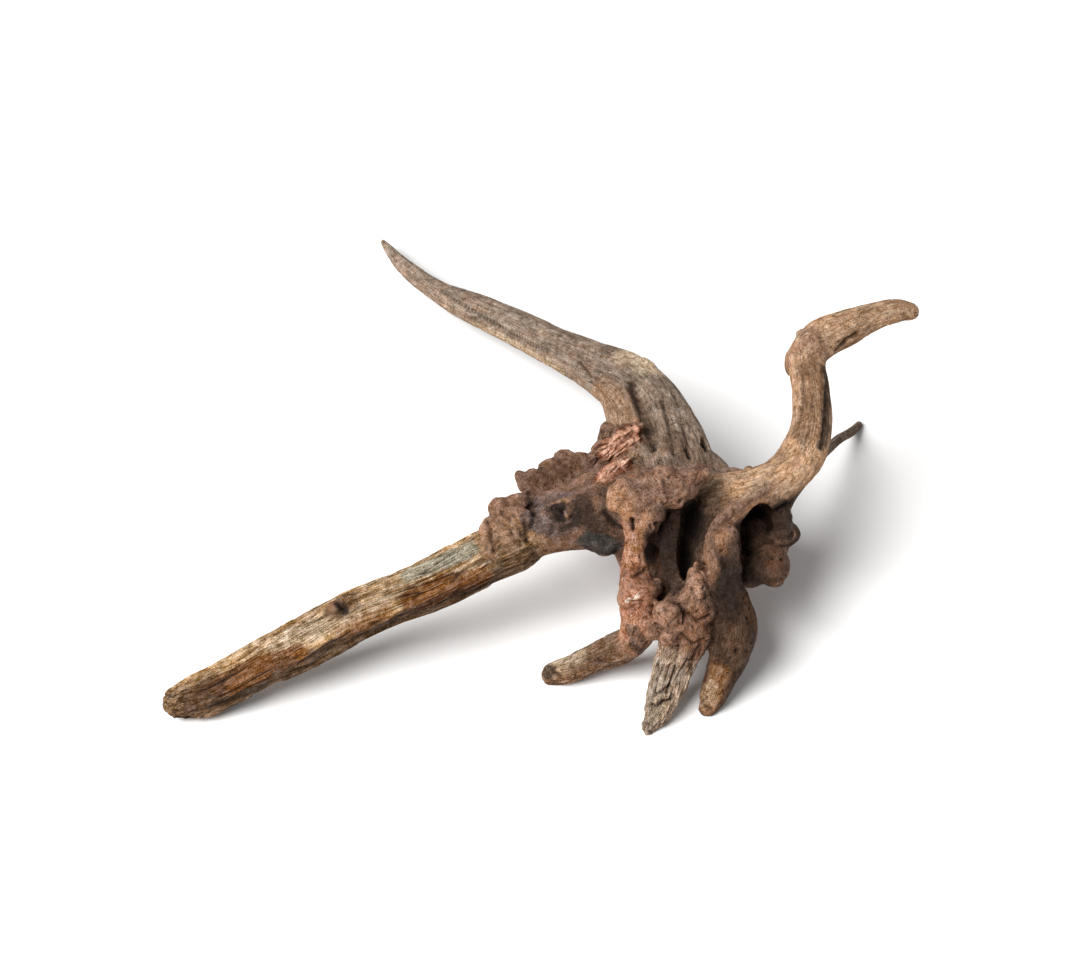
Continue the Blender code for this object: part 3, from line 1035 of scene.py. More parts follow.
def around(path, radius):
    """Indices and distances of the points within a radius of a path."""
    box = np.all((smooth_points > path.min(0) - radius) & (smooth_points < path.max(0) + radius), 1)
    chosen = np.flatnonzero(box)
    _, gap = nearest(smooth_points[chosen], path)
    close = gap < radius
    return chosen[close], gap[close]


print("the long limb's knot lies at", np.round(on_skin(331, 607), 1), "mm")

# %% Ridges, grooves and holes
# Each row: height in millimetres, radius in millimetres, and image places along the stroke.
# Height falls off as (1 - g)^2 (1 + 2 g), with g the distance as a share of the radius.
MARKS = (
    # Long limb: knot, crack, layer edge and underside steps
    (3.0, 6, ((331, 607),)),
    (-1.7, 4.2, ((340, 602), (345, 609))),
    (1.4, 3, ((350, 598), (354, 606))),
    (-1.6, 2.0, ((303, 620), (318, 610))),
    (1.2, 2.2, ((303, 656), (313, 645), (339, 635), (379, 625), (397, 610), (428, 603))),
    (-1.0, 2.6, ((300, 664), (316, 654), (342, 642), (382, 631), (402, 617), (430, 610))),
    (-1.2, 1.6, ((330, 652), (380, 634), (430, 616))),
    (-1.0, 1.6, ((350, 648), (400, 630), (450, 606))),
    # Horn: channel along the arm, crack, grooves beside the rim
    (-1.6, 3.4, ((441, 290), (476, 314), (512, 335), (545, 350))),
    (1.0, 2.2, ((430, 290), (470, 320), (510, 344), (550, 362))),
    (-1.6, 1.6, ((579, 362), (586, 372))),
    (-2.4, 4.0, ((629, 380), (636, 396), (643, 414), (649, 432), (653, 448))),
    (1.8, 2.6, ((620, 372), (625, 388), (631, 406), (636, 424), (639, 440))),
    (-1.8, 2.4, ((662, 400), (668, 425), (674, 452))),
    (-1.5, 2.0, ((676, 395), (684, 425), (690, 446))),
    (1.2, 2.4, ((669, 392), (676, 424), (682, 452))),
    (1.6, 5.0, ((646, 358), (652, 364))),
    (-3.0, 2.0, ((688, 448), (691, 457), (695, 466))),
    # Antler: groove down the stem, dark groove under the arm, notch at the tip
    (-1.2, 2.6, ((827, 368), (828, 395), (826, 425), (823, 448))),
    (1.0, 2.4, ((820, 366), (821, 395), (818, 425), (815, 445))),
    (-1.6, 2.4, ((836, 352), (846, 342), (858, 334))),
    (-1.4, 2.2, ((800, 372), (803, 395), (798, 420))),
    (-1.6, 2.4, ((905, 322),)),
    # Collar and the dark patch on the shoulder: creases, crater and stub
    (-2.2, 2.4, ((528, 494), (529, 508), (524, 524), (528, 540))),
    (-2.0, 2.4, ((486, 520), (491, 536), (496, 552))),
    (-1.6, 2.0, ((500, 512), (508, 520), (514, 532))),
    (-2.4, 4.5, ((561, 508), (558, 515))),
    (1.5, 3, ((566, 516),)),
    (-4.6, 2.6, ((558, 507), (560, 515))),
    (-0.8, 8, ((603, 546),)),
    # Broken end of the stub behind the saddle
    (-2.0, 3.4, ((796, 530), (792, 537))),
    # Crown ledge: creases beside and under it, hole, dents on top
    (-2.4, 2.6, ((604, 511), (611, 521), (620, 530))),
    (-2.2, 2.4, ((657, 524), (668, 512), (682, 502))),
    (-4.5, 2.6, ((631, 522), (632, 529))),
    (-1.4, 2.4, ((660, 470), (662, 480), (668, 492))),
    (-1.2, 2.2, ((684, 474), (686, 486))),
    # Torn wood at the foot of the horn
    (-1.8, 1.3, ((612, 459), (626, 457), (638, 458))),
    # Column, and creases between the knobs of the middle foot
    (-1.8, 2.2, ((622, 572), (634, 576), (648, 570))),
    (-1.6, 1.8, ((628, 602), (642, 604))),
    (-2.2, 1.8, ((653, 612), (656, 624), (668, 631))),
    (-2.0, 1.6, ((684, 624), (687, 612), (682, 602))),
    (-1.3, 2.4, ((665, 608),)),
    (-1.8, 1.8, ((690, 588), (698, 602), (708, 598))),
    (-1.8, 1.8, ((690, 612), (699, 622), (712, 616))),
    (-1.6, 1.8, ((682, 636), (694, 645), (706, 640))),
    (-1.4, 1.6, ((700, 570), (706, 582))),
    # Splintered foot: long splits and a torn step
    (-2.2, 1.2, ((655, 655), (656, 680), (652, 700))),
    (-2.0, 1.1, ((668, 665), (664, 685), (660, 704))),
    (-2.6, 1.6, ((676, 648), (674, 672), (668, 692))),
    (-2.8, 1.6, ((649, 702), (656, 706), (663, 702), (672, 700))),
    (-2.0, 1.2, ((655, 694), (664, 690), (671, 686))),
    (1.6, 1.5, ((661, 655), (659, 680), (656, 700))),
    (1.6, 1.6, ((652, 698), (662, 697), (670, 694))),
    # Right foot: pits and a broken end; left foot: broken end
    (-1.4, 1.8, ((724, 640),)),
    (-1.4, 2.2, ((737, 652),)),
    (-1.2, 1.6, ((728, 663),)),
    (-1.2, 1.6, ((718, 655),)),
    (-1.6, 2.2, ((703, 706), (711, 709))),
    (-1.4, 1.6, ((698, 700), (706, 698))),
    (-1.6, 2.0, ((549, 664), (554, 672), (560, 677))),
    (-1.2, 1.8, ((575, 658), (590, 652))),
)
for height, radius, places in MARKS:
    chosen, gap = around(stroke_path(places), radius)
    fall = (1 - gap / radius) ** 2 * (1 + 2 * gap / radius)
    relief[chosen] += height * fall
    # A groove or hole is also darkened in its depth, as painted shade.
    if height < 0:
        crevice_shade[chosen] = np.maximum(crevice_shade[chosen], fall * min(1.0, -height / 2.5))
print(len(MARKS), "marks set")

# %% Move the skin
wood_points = smooth_points + smooth_normals * relief[:, None]
wood_points[:, 2] = np.maximum(wood_points[:, 2], 0.0)
wood_normals = facing(wood_points)


def spread(table):
    """Each cell of a table plus its neighbours on both sides, in each of three directions."""
    for axis in range(3):
        table = table + np.roll(table, 1, axis) + np.roll(table, -1, axis)
    return table


def shelter(cell, shifts=6):
    """How far the middle of the skin around a point lies out from it, in cells: above 0 in a
    hollow, below 0 on a ridge. The skin around it is what lies in the 27 cells about its own, and
    the answer is averaged over several places of the cells."""
    total = np.zeros(len(wood_points))
    for shift in range(shifts):
        key = np.floor((wood_points - wood_points.min(0)) / cell + shift / shifts).astype(int) + 1
        size = tuple(key.max(0) + 2)
        flat = np.ravel_multi_index(key.T, size)
        cells = int(np.prod(size))
        count = np.maximum(spread(np.bincount(flat, minlength=cells).reshape(size)), 1)
        for axis in range(3):
            sums = np.bincount(flat, wood_points[:, axis], cells).reshape(size)
            middle = (spread(sums) / count)[tuple(key.T)]
            total += (middle - wood_points[:, axis]) * wood_normals[:, axis] / cell / shifts
    return total


skin_low, skin_high = wood_points.min(0) - MIDDLE, wood_points.max(0) - MIDDLE
print("skin box in mm:", np.round(skin_low, 1), np.round(skin_high, 1))

# %% [markdown]
# # Colour of the wood
#
# Sun and water bleach raised fibres to cream and stain the places where bark or resin stayed, and
# the hollows and the sides away from the light are darkened with painted shade. Each limb has its
# own base colour, mixed over the forks by the same shares as the grain; some of these base colours
# are painted shade too. Patches are then laid over it, with ragged edges from noise.

# %% Base colours
def pigment(red, green, blue):
    """A display colour from 0 to 255 as the share of light that the wood sends back: with c the
    colour over 255, ((c + 0.055) / 1.055)^2.4, or c / 12.92 where c is very dark."""
    c = np.array([red, green, blue]) / 255
    return np.where(c <= 0.04045, c / 12.92, ((c + 0.055) / 1.055) ** 2.4)


# The dark base colours of right_foot, blade_face, hollow_ridge and under_strand are painted shade: the
# right foot lies in the burl's shade, the blade's face looks away from the light, and the ridge and
# the strand sit in the dark hollows.
TONES = {
    "long_limb": pigment(200, 161, 118),
    "shoulder": pigment(128, 98, 80),
    "swept_horn": pigment(156, 134, 116),
    "raised_antler": pigment(186, 149, 119),
    "column": pigment(176, 128, 102),
    "left_foot": pigment(138, 109, 86),
    "splintered_foot": pigment(190, 163, 140),
    "right_foot": pigment(86, 58, 37),
    "back_twig": pigment(120, 98, 80),
    "blade": pigment(140, 106, 83),
    "blade_face": pigment(62, 41, 27),
    "saddle": pigment(138, 108, 86),
    "horn_rim": pigment(184, 150, 122),
    "crown_ledge": pigment(150, 121, 104),
    "plate": pigment(128, 99, 82),
    "hollow_ridge": pigment(66, 44, 31),
    "under_strand": pigment(62, 43, 30),
}
LUMP_TONE = pigment(142, 109, 91)
tone = lump_share[:, None] * LUMP_TONE
for name, share in shares.items():
    tone = tone + share[:, None] * TONES.get(name, TONES["plate"])
print(len(TONES), "base colours")

# %% Bleached and dark streaks
mottle = layered(wood_points / 14, 31)
fleck = layered(wood_points / 4.5, 37)
tone = tone * (1 + 0.55 * mottle + 0.3 * fleck)[:, None]

PATCH = {
    "cream": pigment(224, 200, 170),
    "brown": pigment(96, 68, 48),
    "ochre": pigment(148, 97, 58),
    "tan": pigment(176, 132, 96),
    "char": pigment(40, 29, 21),
    "moss": pigment(184, 180, 160),
    "red": pigment(170, 98, 72),
    "salmon": pigment(228, 180, 152),
    "resin": pigment(84, 68, 64),
    "violet": pigment(128, 112, 110),
    "slate": pigment(62, 62, 60),
    "rust": pigment(152, 100, 74),
    "grey": pigment(162, 150, 136),
    "chip": pigment(236, 220, 204),
    # This dark colour isn't the wood's own: it is painted shade for hollows, ledges and sides away
    # from the light.
    "dusk": pigment(44, 30, 21),
}


def lay(colour, amount):
    """Mixes a patch's colour into the skin by an amount from 0 to 1."""
    global tone
    share = np.clip(amount, 0, 1)[:, None]
    tone = tone * (1 - share) + PATCH[colour] * share


def streaks(name, seed, wide=2.0, reach=30):
    """Drawn-out noise along a limb, from about 0 to 1."""
    return 0.5 + 0.9 * layered(grains[name] / (reach, wide, wide), seed)


# The lower side of the long limb is laid brown with char streaks: painted shade on the side away from
# the light.
limb_wave = 0.22 * noise(grains["long_limb"] / (26, 12, 12), 41) + 0.1 * noise(smooth_points / 6, 42)
low_side = ramp(turns["long_limb"] + limb_wave, 0.34, 0.46) * shares["long_limb"]
lay("cream", 0.55 * shares["long_limb"] * ramp(streaks("long_limb", 43), 0.45, 0.9))
lay("brown", 0.5 * shares["long_limb"] * ramp(streaks("long_limb", 44, 1.7, 22), 0.62, 0.9))
lay("brown", 0.75 * low_side)
lay("char", 0.75 * low_side * ramp(streaks("long_limb", 45, 2.6, 40), 0.45, 0.75))
lay("grey", 0.5 * shares["swept_horn"] * ramp(streaks("swept_horn", 46, 2.4, 34), 0.4, 0.8))
lay("brown", 0.35 * shares["swept_horn"] * ramp(streaks("swept_horn", 47, 2.0, 26), 0.62, 0.9))
lay("cream", 0.35 * shares["raised_antler"] * ramp(streaks("raised_antler", 48, 2.6, 16), 0.5, 0.9))
lay("brown", 0.35 * shares["raised_antler"] * ramp(streaks("raised_antler", 49, 1.8, 9), 0.66, 0.86))
foot_top = 1 - ramp(grains["splintered_foot"][:, 0] + 6 * noise(smooth_points / 6, 52), 30, 44)
lay("rust", 0.8 * shares["splintered_foot"] * foot_top)
# The right side of the splintered foot is laid rust and brown: its own colour, and painted shade on
# the side away from the light.
foot_right = ramp(0.3 * noise(smooth_points / 7, 53) - turns["splintered_foot"], 0.1, 0.5)
foot_right *= 1 - ramp(grains["splintered_foot"][:, 0], 44, 54)
lay("rust", 0.8 * shares["splintered_foot"] * foot_right)
lay("brown", 0.4 * shares["splintered_foot"] * foot_right)
lay("grey", 0.5 * shares["splintered_foot"] * ramp(streaks("splintered_foot", 50, 2.0, 20), 0.5, 0.8))
lay("ochre", 0.2 * shares["left_foot"] * ramp(streaks("left_foot", 51, 3.0, 14), 0.5, 0.8))
print("mean colour with streaks:", np.round(tone.mean(axis=0), 3))

# %% [markdown]
# Patches at given places
#
# Resin and bark stained the wood at certain places, and other places are darkened with painted
# shade, so these patches are strokes over image places too. Stains have crisp edges, bark has firm
# ones, and worn patches and painted shade fade out. The edge follows noise, because no stain ends
# in a clean curve.

# %% Lay stains, bark, patches and painted shade
# Each row: colour, strength, radius in millimetres, and image places along the patch
STAINS = (
    # Resin, old bark, dark holes, and chips of bare wood
    ("resin", 0.65, 5.5, ((532, 506), (546, 502), (558, 500), (568, 508))),
    ("resin", 0.7, 5.0, ((532, 520), (548, 526), (560, 530), (568, 522))),
    ("violet", 0.45, 3.0, ((536, 500), (552, 494), (568, 494))),
    ("violet", 0.35, 2.4, ((530, 512), (536, 526), (552, 534))),
    ("char", 0.7, 1.5, ((528, 499), (534, 512), (530, 527))),
    ("char", 0.6, 1.4, ((546, 508), (554, 520), (550, 533))),
    ("violet", 0.6, 2.0, ((538, 506), (543, 520))),
    ("tan", 0.5, 1.5, ((554, 501), (564, 498), (572, 507), (570, 518))),
    ("char", 0.95, 3.6, ((557, 506), (560, 516))),
    ("char", 0.75, 1.8, ((570, 502), (578, 512), (574, 524), (562, 530))),
    ("slate", 0.9, 6.0, ((590, 544), (600, 547), (612, 549))),
    ("char", 0.7, 2.0, ((586, 548), (600, 553), (612, 554))),
    ("slate", 0.5, 3.2, ((630, 631), (638, 642), (646, 653))),
    ("char", 0.6, 2.2, ((632, 648), (640, 652), (647, 656))),
    ("char", 0.5, 1.6, ((636, 628), (644, 640))),
    ("chip", 0.95, 1.0, ((626, 603), (630, 600))),
    ("chip", 0.85, 0.9, ((634, 600), (637, 597))),
    ("char", 0.6, 2.6, ((341, 603), (345, 609))),
    ("char", 0.6, 4, ((547, 670),)),
)
BARK = (
    # Remains of the inner bark on the long limb
    ("ochre", 0.8, 5, ((268, 665), (300, 655))),
    ("brown", 0.6, 3, ((262, 670), (292, 662))),
    ("ochre", 0.75, 6.5, ((222, 686), (262, 668))),
    ("brown", 0.7, 6, ((190, 700), (214, 690))),
    ("ochre", 0.85, 7, ((416, 600), (446, 588), (480, 580))),
    ("brown", 0.6, 3, ((408, 612), (440, 600), (476, 590))),
)
PATCHES = (
    # Long limb
    ("moss", 0.8, 5, ((408, 575), (440, 562), (470, 548))),
    ("cream", 0.5, 6, ((316, 622), (350, 616), (380, 600))),
    ("brown", 0.5, 4, ((200, 692), (230, 680), (250, 668))),
    ("cream", 0.75, 8, ((278, 642), (296, 636), (314, 628))),
    ("ochre", 0.6, 5, ((345, 632), (385, 612))),
    ("brown", 0.75, 9, ((336, 604), (346, 602))),
    ("brown", 0.5, 11, ((172, 706), (190, 698), (212, 690))),
    # Collar and shoulder, with painted shade on the shoulder beside the crown
    ("brown", 0.3, 12, ((500, 512), (512, 528), (500, 545))),
    ("dusk", 0.85, 8, ((580, 504), (586, 516), (596, 532))),
    ("brown", 0.4, 8, ((560, 468), (545, 472))),
    ("brown", 0.5, 7, ((530, 484), (575, 464))),
    # Torn wood at the foot of the horn
    ("red", 0.6, 7, ((606, 452), (620, 442), (634, 432))),
    ("salmon", 0.75, 3.4, ((602, 450), (616, 439), (632, 428))),
    ("salmon", 0.75, 2.6, ((608, 457), (622, 448), (637, 438))),
    ("red", 0.55, 6, ((601, 478), (612, 468), (626, 460))),
    ("salmon", 0.7, 3.0, ((600, 479), (612, 468), (626, 457))),
    ("rust", 0.5, 3, ((637, 418), (642, 440))),
    # Horn, with brown as painted shade along the groove beside the rim and at the horn's base
    ("tan", 0.5, 11, ((598, 392), (612, 404), (620, 420))),
    ("brown", 0.6, 4, ((632, 386), (642, 412), (652, 444))),
    ("cream", 0.8, 9, ((626, 354), (640, 360), (652, 368))),
    ("cream", 0.45, 4, ((470, 330), (520, 352), (560, 372))),
    ("brown", 0.45, 9, ((676, 440), (690, 452))),
    ("brown", 0.2, 14, ((570, 350), (612, 368))),
    # Burl: rust and tan, and painted shade with brown in the hollows, under the crown ledge, on the
    # blade's face and round the lobe
    ("rust", 0.5, 10, ((630, 578), (640, 590), (636, 606))),
    ("rust", 0.35, 8, ((700, 620), (692, 640))),
    ("brown", 0.35, 13, ((676, 600), (688, 622), (698, 640))),
    ("dusk", 0.8, 10, ((732, 570), (728, 590), (726, 604))),
    ("dusk", 0.5, 9, ((706, 488), (708, 505), (706, 525))),
    ("dusk", 0.75, 5, ((697, 508), (702, 520), (700, 540), (696, 552))),
    ("dusk", 0.85, 8, ((669, 532), (670, 560), (673, 588))),
    ("dusk", 0.75, 6, ((730, 558), (728, 574), (722, 592))),
    ("tan", 0.3, 5, ((722, 534), (726, 548))),
    ("tan", 0.45, 4, ((648, 518), (644, 534), (638, 548))),
    ("dusk", 0.45, 4, ((640, 471), (660, 463), (680, 460), (702, 464))),
    ("dusk", 0.5, 4, ((603, 492), (605, 514), (616, 530))),
    ("dusk", 0.6, 6, ((738, 525), (735, 545))),
    ("dusk", 0.85, 15, ((755, 515), (752, 560), (775, 515))),
    ("dusk", 0.95, 10, ((690, 512), (690, 545), (684, 570))),
    ("dusk", 0.6, 9, ((665, 515), (665, 545), (708, 525))),
    ("dusk", 0.9, 5, ((650, 535), (648, 560))),
    ("brown", 0.8, 17, ((766, 555), (775, 570))),
    ("rust", 0.2, 12, ((772, 556), (776, 566))),
    ("dusk", 0.75, 9, ((752, 556), (750, 576), (762, 588))),
    ("dusk", 0.75, 8, ((780, 508), (786, 520), (790, 532))),
    ("brown", 0.6, 12, ((766, 560), (776, 572))),
    ("dusk", 0.35, 12, ((766, 560), (780, 572))),
    ("dusk", 0.7, 8, ((755, 558), (757, 574))),
    ("cream", 0.25, 5, ((765, 476), (745, 492))),
    ("tan", 0.45, 8, ((614, 496), (622, 510))),
    ("brown", 0.25, 10, ((650, 478), (672, 474), (690, 478))),
    # Feet, with painted shade on the right foot
    ("dusk", 0.5, 12, ((722, 600), (724, 622), (738, 640))),
    ("dusk", 0.55, 13, ((728, 640), (738, 660))),
    ("dusk", 0.4, 6, ((748, 630), (754, 650), (744, 672))),
    ("tan", 0.5, 7, ((706, 706), (712, 690), (718, 676))),
    ("cream", 0.3, 5, ((704, 702), (710, 688))),
    ("tan", 0.14, 9, ((736, 640), (744, 660))),
    ("grey", 0.5, 7, ((652, 690), (656, 670), (650, 712))),
    ("char", 0.35, 4, ((658, 705), (647, 726))),
    ("cream", 0.55, 6, ((556, 664), (576, 655))),
    ("brown", 0.35, 5, ((585, 668), (612, 656), (628, 650))),
    ("cream", 0.35, 5, ((652, 716), (658, 700))),
    # Antler, with brown and painted shade down the stem's right side and under the arm
    ("brown", 0.55, 9, ((812, 372), (812, 400), (806, 430))),
    ("dusk", 0.85, 3.6, ((830, 366), (829, 385), (828, 405), (827, 428), (823, 446))),
    ("brown", 0.4, 7, ((846, 350), (858, 338))),
)
ragged = 0.35 * layered(wood_points / 5, 61) + 0.22 * layered(wood_points / 1.7, 62)
for rows, blur in ((PATCHES, 0.6), (BARK, 0.2), (STAINS, 0.08)):
    for colour, strength, radius, places in rows:
        chosen, gap = around(stroke_path(places), radius * 1.5)
        amount = np.zeros(len(tone))
        amount[chosen] = strength * ramp(1 - gap / radius / 1.25 + ragged[chosen], 0.0, blur)
        lay(colour, amount)
print(len(PATCHES), "patches,", len(BARK), "of bark and", len(STAINS), "stains laid")

# %% [markdown]
# Dirt, wear and painted shade
#
# Sheltered points are darkened, as dirt and as painted shade, and raised edges are made pale, as
# wear and as a painted highlight. Sheltered points lie below the middle of the skin around them,
# raised ones above it. The question is asked four times, with wider and wider surroundings, so
# that both a crack and a whole hollow grow dark.

# %% Dirt and painted shade in the crevices, wear and painted highlight on the tops
# Skin that faces down is tinted darker and warmer: sun bleaching of the tops, and painted warm shade
# on the undersides.
bleached_and_lit = ramp(wood_normals[:, 2], -0.5, 0.6)
tone = tone * (1 - (1 - bleached_and_lit)[:, None] * (0.05, 0.16, 0.28))
fine_shelter, near_shelter, wide_shelter = shelter(1.7), shelter(3.2), shelter(8.0)
deep_shelter = shelter(15.0)
dirt_and_shade = 0.5 * ramp(near_shelter, 0.0, 0.7) + 0.5 * ramp(wide_shelter, 0.05, 0.9)
dirt_and_shade = np.clip(dirt_and_shade + 0.45 * ramp(fine_shelter, 0.05, 0.5) + 0.5 * ramp(deep_shelter, 0.0, 0.6), 0, 1)
wear_and_highlight = 0.5 * ramp(-near_shelter, 0.2, 0.75) + 0.6 * ramp(-fine_shelter, 0.1, 0.5)
# Cracks, pits and grooves are darkened by their depth: painted shade.
tone = tone * (1 - 0.68 * np.clip(crevice_shade, 0, 1))[:, None]
tone = tone * (1 - dirt_and_shade[:, None] * (0.62, 0.70, 0.78) + 0.24 * wear_and_highlight[:, None])
print("share of the skin in shelter:", round(float((dirt_and_shade > 0.3).mean()), 2))
tone = np.clip(tone, 0.004, 0.95)
print("mean colour of the wood:", np.round(tone.mean(axis=0), 3))

# %% [markdown]
# # Numbers for the finer grain
#
# The material draws the finest fibres, so it needs to know at every point which way the grain
# runs, how clear it is, and how coarse the mottling is. A point takes the grain of the limb with
# the largest share, and grain fades where two limbs have nearly equal shares.

# %% Grain, fibre and coarseness of every point
names = list(STRANDS)
order = np.stack([shares[name] for name in names])
first = np.argmax(order, axis=0)
sorted_shares = np.sort(order, axis=0)
clear = np.clip((sorted_shares[-1] - sorted_shares[-2]) / (sorted_shares[-1] + 1e-6), 0, 1)
grain_vector = np.zeros_like(wood_points)
for number, name in enumerate(names):
    mine = first == number
    grain_vector[mine] = grains[name][mine] + (60 * number, 37 * number, 0)
strength = {
    "long_limb": 0.9,
    "splintered_foot": 0.9,
    "left_foot": 0.7,
    "back_twig": 0.7,
    "swept_horn": 0.55,
    "horn_rim": 0.5,
    "right_foot": 0.5,
    "raised_antler": 0.45,
}
fibre = np.array([strength.get(name, 0.3) for name in names])[first]
fibre = fibre * ramp(clear, 0.05, 0.6) * (1 - ramp(lump_share, 0.3, 0.8))
calm = {"raised_antler": 0.5, "saddle": 0.5, "blade": 0.6, "crest": 0.6, "swept_horn": 0.8}
coarse = 0.75 * lump_share + sum(calm.get(name, 1.0) * shares[name] for name in names)
print("share of the skin with clear grain:", round(float((fibre > 0.3).mean()), 2))

# %% [markdown]
# # The wood's material
#
# The skin carries the broad colours, and the material adds what is finer than the mesh. Noise
# drawn out along the grain gives fibres, even noise gives mottling, and small cells give pores.
# All three change the colour, the roughness and the bump. Dry wood has almost no shine.

# %% Weathered wood
def linked(tree, kind, **inputs):
    """A new node whose sockets hold a value or take a link. A socket goes by its name, or by n
    and its number."""
    node = tree.nodes.new(kind)
    for name, value in inputs.items():
        key = int(name[1:]) if name.startswith("n") else name.replace("_", " ")
        socket = node.inputs[key]
        if isinstance(value, bpy.types.NodeSocket):
            tree.links.new(value, socket)
        else:
            socket.default_value = value
    return node


def combined(tree, operation, first_value, second_value):
    """The result of a Math node on two values."""
    node = linked(tree, "ShaderNodeMath", n0=first_value, n1=second_value)
    node.operation = operation
    return node.outputs[0]


def weighed(tree, total, *terms):
    """A number plus each term's weight times its value."""
    for weight, value in terms:
        total = combined(tree, "ADD", total, combined(tree, "MULTIPLY", value, weight))
    return total


def swing(tree, value, share):
    """How far a noise is from its middle, times a share."""
    return combined(tree, "MULTIPLY", combined(tree, "SUBTRACT", value, 0.5), share)


def thin_line(tree, value, width):
    """1 where a noise passes its middle, falling to 0 at plus or minus width."""
    gap = combined(tree, "ABSOLUTE", combined(tree, "SUBTRACT", value, 0.5), 0.0)
    line = linked(tree, "ShaderNodeMapRange", Value=gap)
    line.inputs["From Min"].default_value = width
    line.inputs["From Max"].default_value = 0.0
    return line.outputs[0]


def attribute(tree, name, output):
    """Reads an attribute of the skin."""
    node = tree.nodes.new("ShaderNodeAttribute")
    node.attribute_name = name
    return node.outputs[output]


def weathered(name):
    """The material of one piece of the root."""
    material = bpy.data.materials.new(name)
    material.use_nodes = True
    tree = material.node_tree
    shader = tree.nodes["Principled BSDF"]
    place = tree.nodes.new("ShaderNodeTexCoord").outputs["Object"]
    grain = attribute(tree, "grain", "Vector")
    fibre_share = attribute(tree, "fibre", "Fac")
    coarse_share = attribute(tree, "coarse", "Fac")
    drawn = linked(tree, "ShaderNodeMapping", Vector=grain, Scale=(0.035, 1.0, 1.0)).outputs[0]
    fine = linked(tree, "ShaderNodeTexNoise", Vector=drawn, Scale=1.8, Detail=5.0, Roughness=0.66)
    split = linked(tree, "ShaderNodeTexNoise", Vector=drawn, Scale=0.5, Detail=3.0, Roughness=0.55)
    mottled = linked(tree, "ShaderNodeTexNoise", Vector=place, Scale=240.0, Detail=6.0, Roughness=0.7)
    grit = linked(tree, "ShaderNodeTexNoise", Vector=place, Scale=1300.0, Detail=3.0, Roughness=0.7)
    wrinkled = linked(tree, "ShaderNodeTexNoise", Vector=place, Scale=190.0, Detail=4.0, Roughness=0.6)
    pores = linked(tree, "ShaderNodeTexVoronoi", Vector=place, Scale=620.0)
    streak = swing(tree, fine.outputs[0], fibre_share)
    blotch = swing(tree, mottled.outputs[0], coarse_share)
    speck = swing(tree, grit.outputs[0], coarse_share)
    crack = combined(tree, "MULTIPLY", thin_line(tree, split.outputs[0], 0.035), fibre_share)
    wrinkle = combined(tree, "MULTIPLY", thin_line(tree, wrinkled.outputs[0], 0.02), 0.5)
    pit = linked(tree, "ShaderNodeMapRange", Value=pores.outputs["Distance"])
    pit.inputs["From Min"].default_value = 0.28
    pit.inputs["From Max"].default_value = 0.10
    dents = combined(tree, "MAXIMUM", combined(tree, "MAXIMUM", crack, wrinkle), pit.outputs[0])
    light = weighed(tree, 1.06, (3.4, streak), (2.7, blotch), (3.0, speck), (-0.62, dents))
    colour = linked(
        tree,
        "ShaderNodeHueSaturation",
        Hue=0.5,
        Saturation=weighed(tree, 1.04, (-2.2, streak), (-1.5, blotch), (-0.8, speck), (0.2, dents)),
        Value=linked(tree, "ShaderNodeClamp", Value=light, Min=0.22, Max=1.9).outputs[0],
        Color=attribute(tree, "tone", "Color"),
    )
    tree.links.new(colour.outputs[0], shader.inputs["Base Color"])
    rough = linked(tree, "ShaderNodeMapRange", Value=light)
    rough.inputs["From Min"].default_value = 0.5
    rough.inputs["From Max"].default_value = 1.4
    rough.inputs["To Min"].default_value = 0.95
    rough.inputs["To Max"].default_value = 0.7
    tree.links.new(rough.outputs[0], shader.inputs["Roughness"])
    height = weighed(tree, 0.5, (1.6, streak), (1.6, blotch), (0.9, speck), (-0.6, dents))
    bump = linked(tree, "ShaderNodeBump", Strength=1.0, Distance=0.0015, Height=height)
    tree.links.new(bump.outputs[0], shader.inputs["Normal"])
    shader.inputs["Specular IOR Level"].default_value = 0.28
    print(name, "is made of", len(tree.nodes), "nodes")
    return material


# %% [markdown]
# # Hand the skin over
#
# Each node of the solid model gets its own part of the skin. Real wood isn't hollow, so the cut
# at a fork is closed by a cap, which lies half a millimetre inside the wood. Filling the hole
# straight across would be simpler, but could make a face twice where the rim is jagged. The
# shading directions come from the whole skin, so that the forks don't show. A piece with too
# many triangles for everyday use is thinned where it is flat, all but its rims, which its
# neighbours share. Every piece rides on the root's one body.

# %% Thin and shade a piece
MOST_TRIANGLES = 190000
CAP_DEPTH = 0.5


def thin(piece, rims):
    """Collapses the edges that matter least until MOST_TRIANGLES are left, all but the rims'."""
    inner = np.setdiff1d(np.arange(len(piece.data.vertices)), rims)
    piece.vertex_groups.new(name="inner").add(inner.tolist(), 1.0, "REPLACE")
    modifier = piece.modifiers.new("thin", "DECIMATE")
    modifier.ratio = MOST_TRIANGLES / len(piece.data.polygons)
    modifier.vertex_group = "inner"
    settle(piece)
    piece.vertex_groups.clear()
    print(piece.name, "thinned to", len(piece.data.polygons), "triangles")


def shade(mesh):
    """Smooth shading along the directions stored at the points."""
    ways = np.empty(len(mesh.vertices) * 3, np.float32)
    mesh.attributes["facing"].data.foreach_get("vector", ways)
    loops = np.empty(len(mesh.loops), np.int32)
    mesh.loops.foreach_get("vertex_index", loops)
    mesh.polygons.foreach_set("use_smooth", np.ones(len(mesh.polygons), bool))
    mesh.normals_split_custom_set(unit(ways.reshape(-1, 3))[loops])
    mesh.attributes.remove(mesh.attributes["facing"])


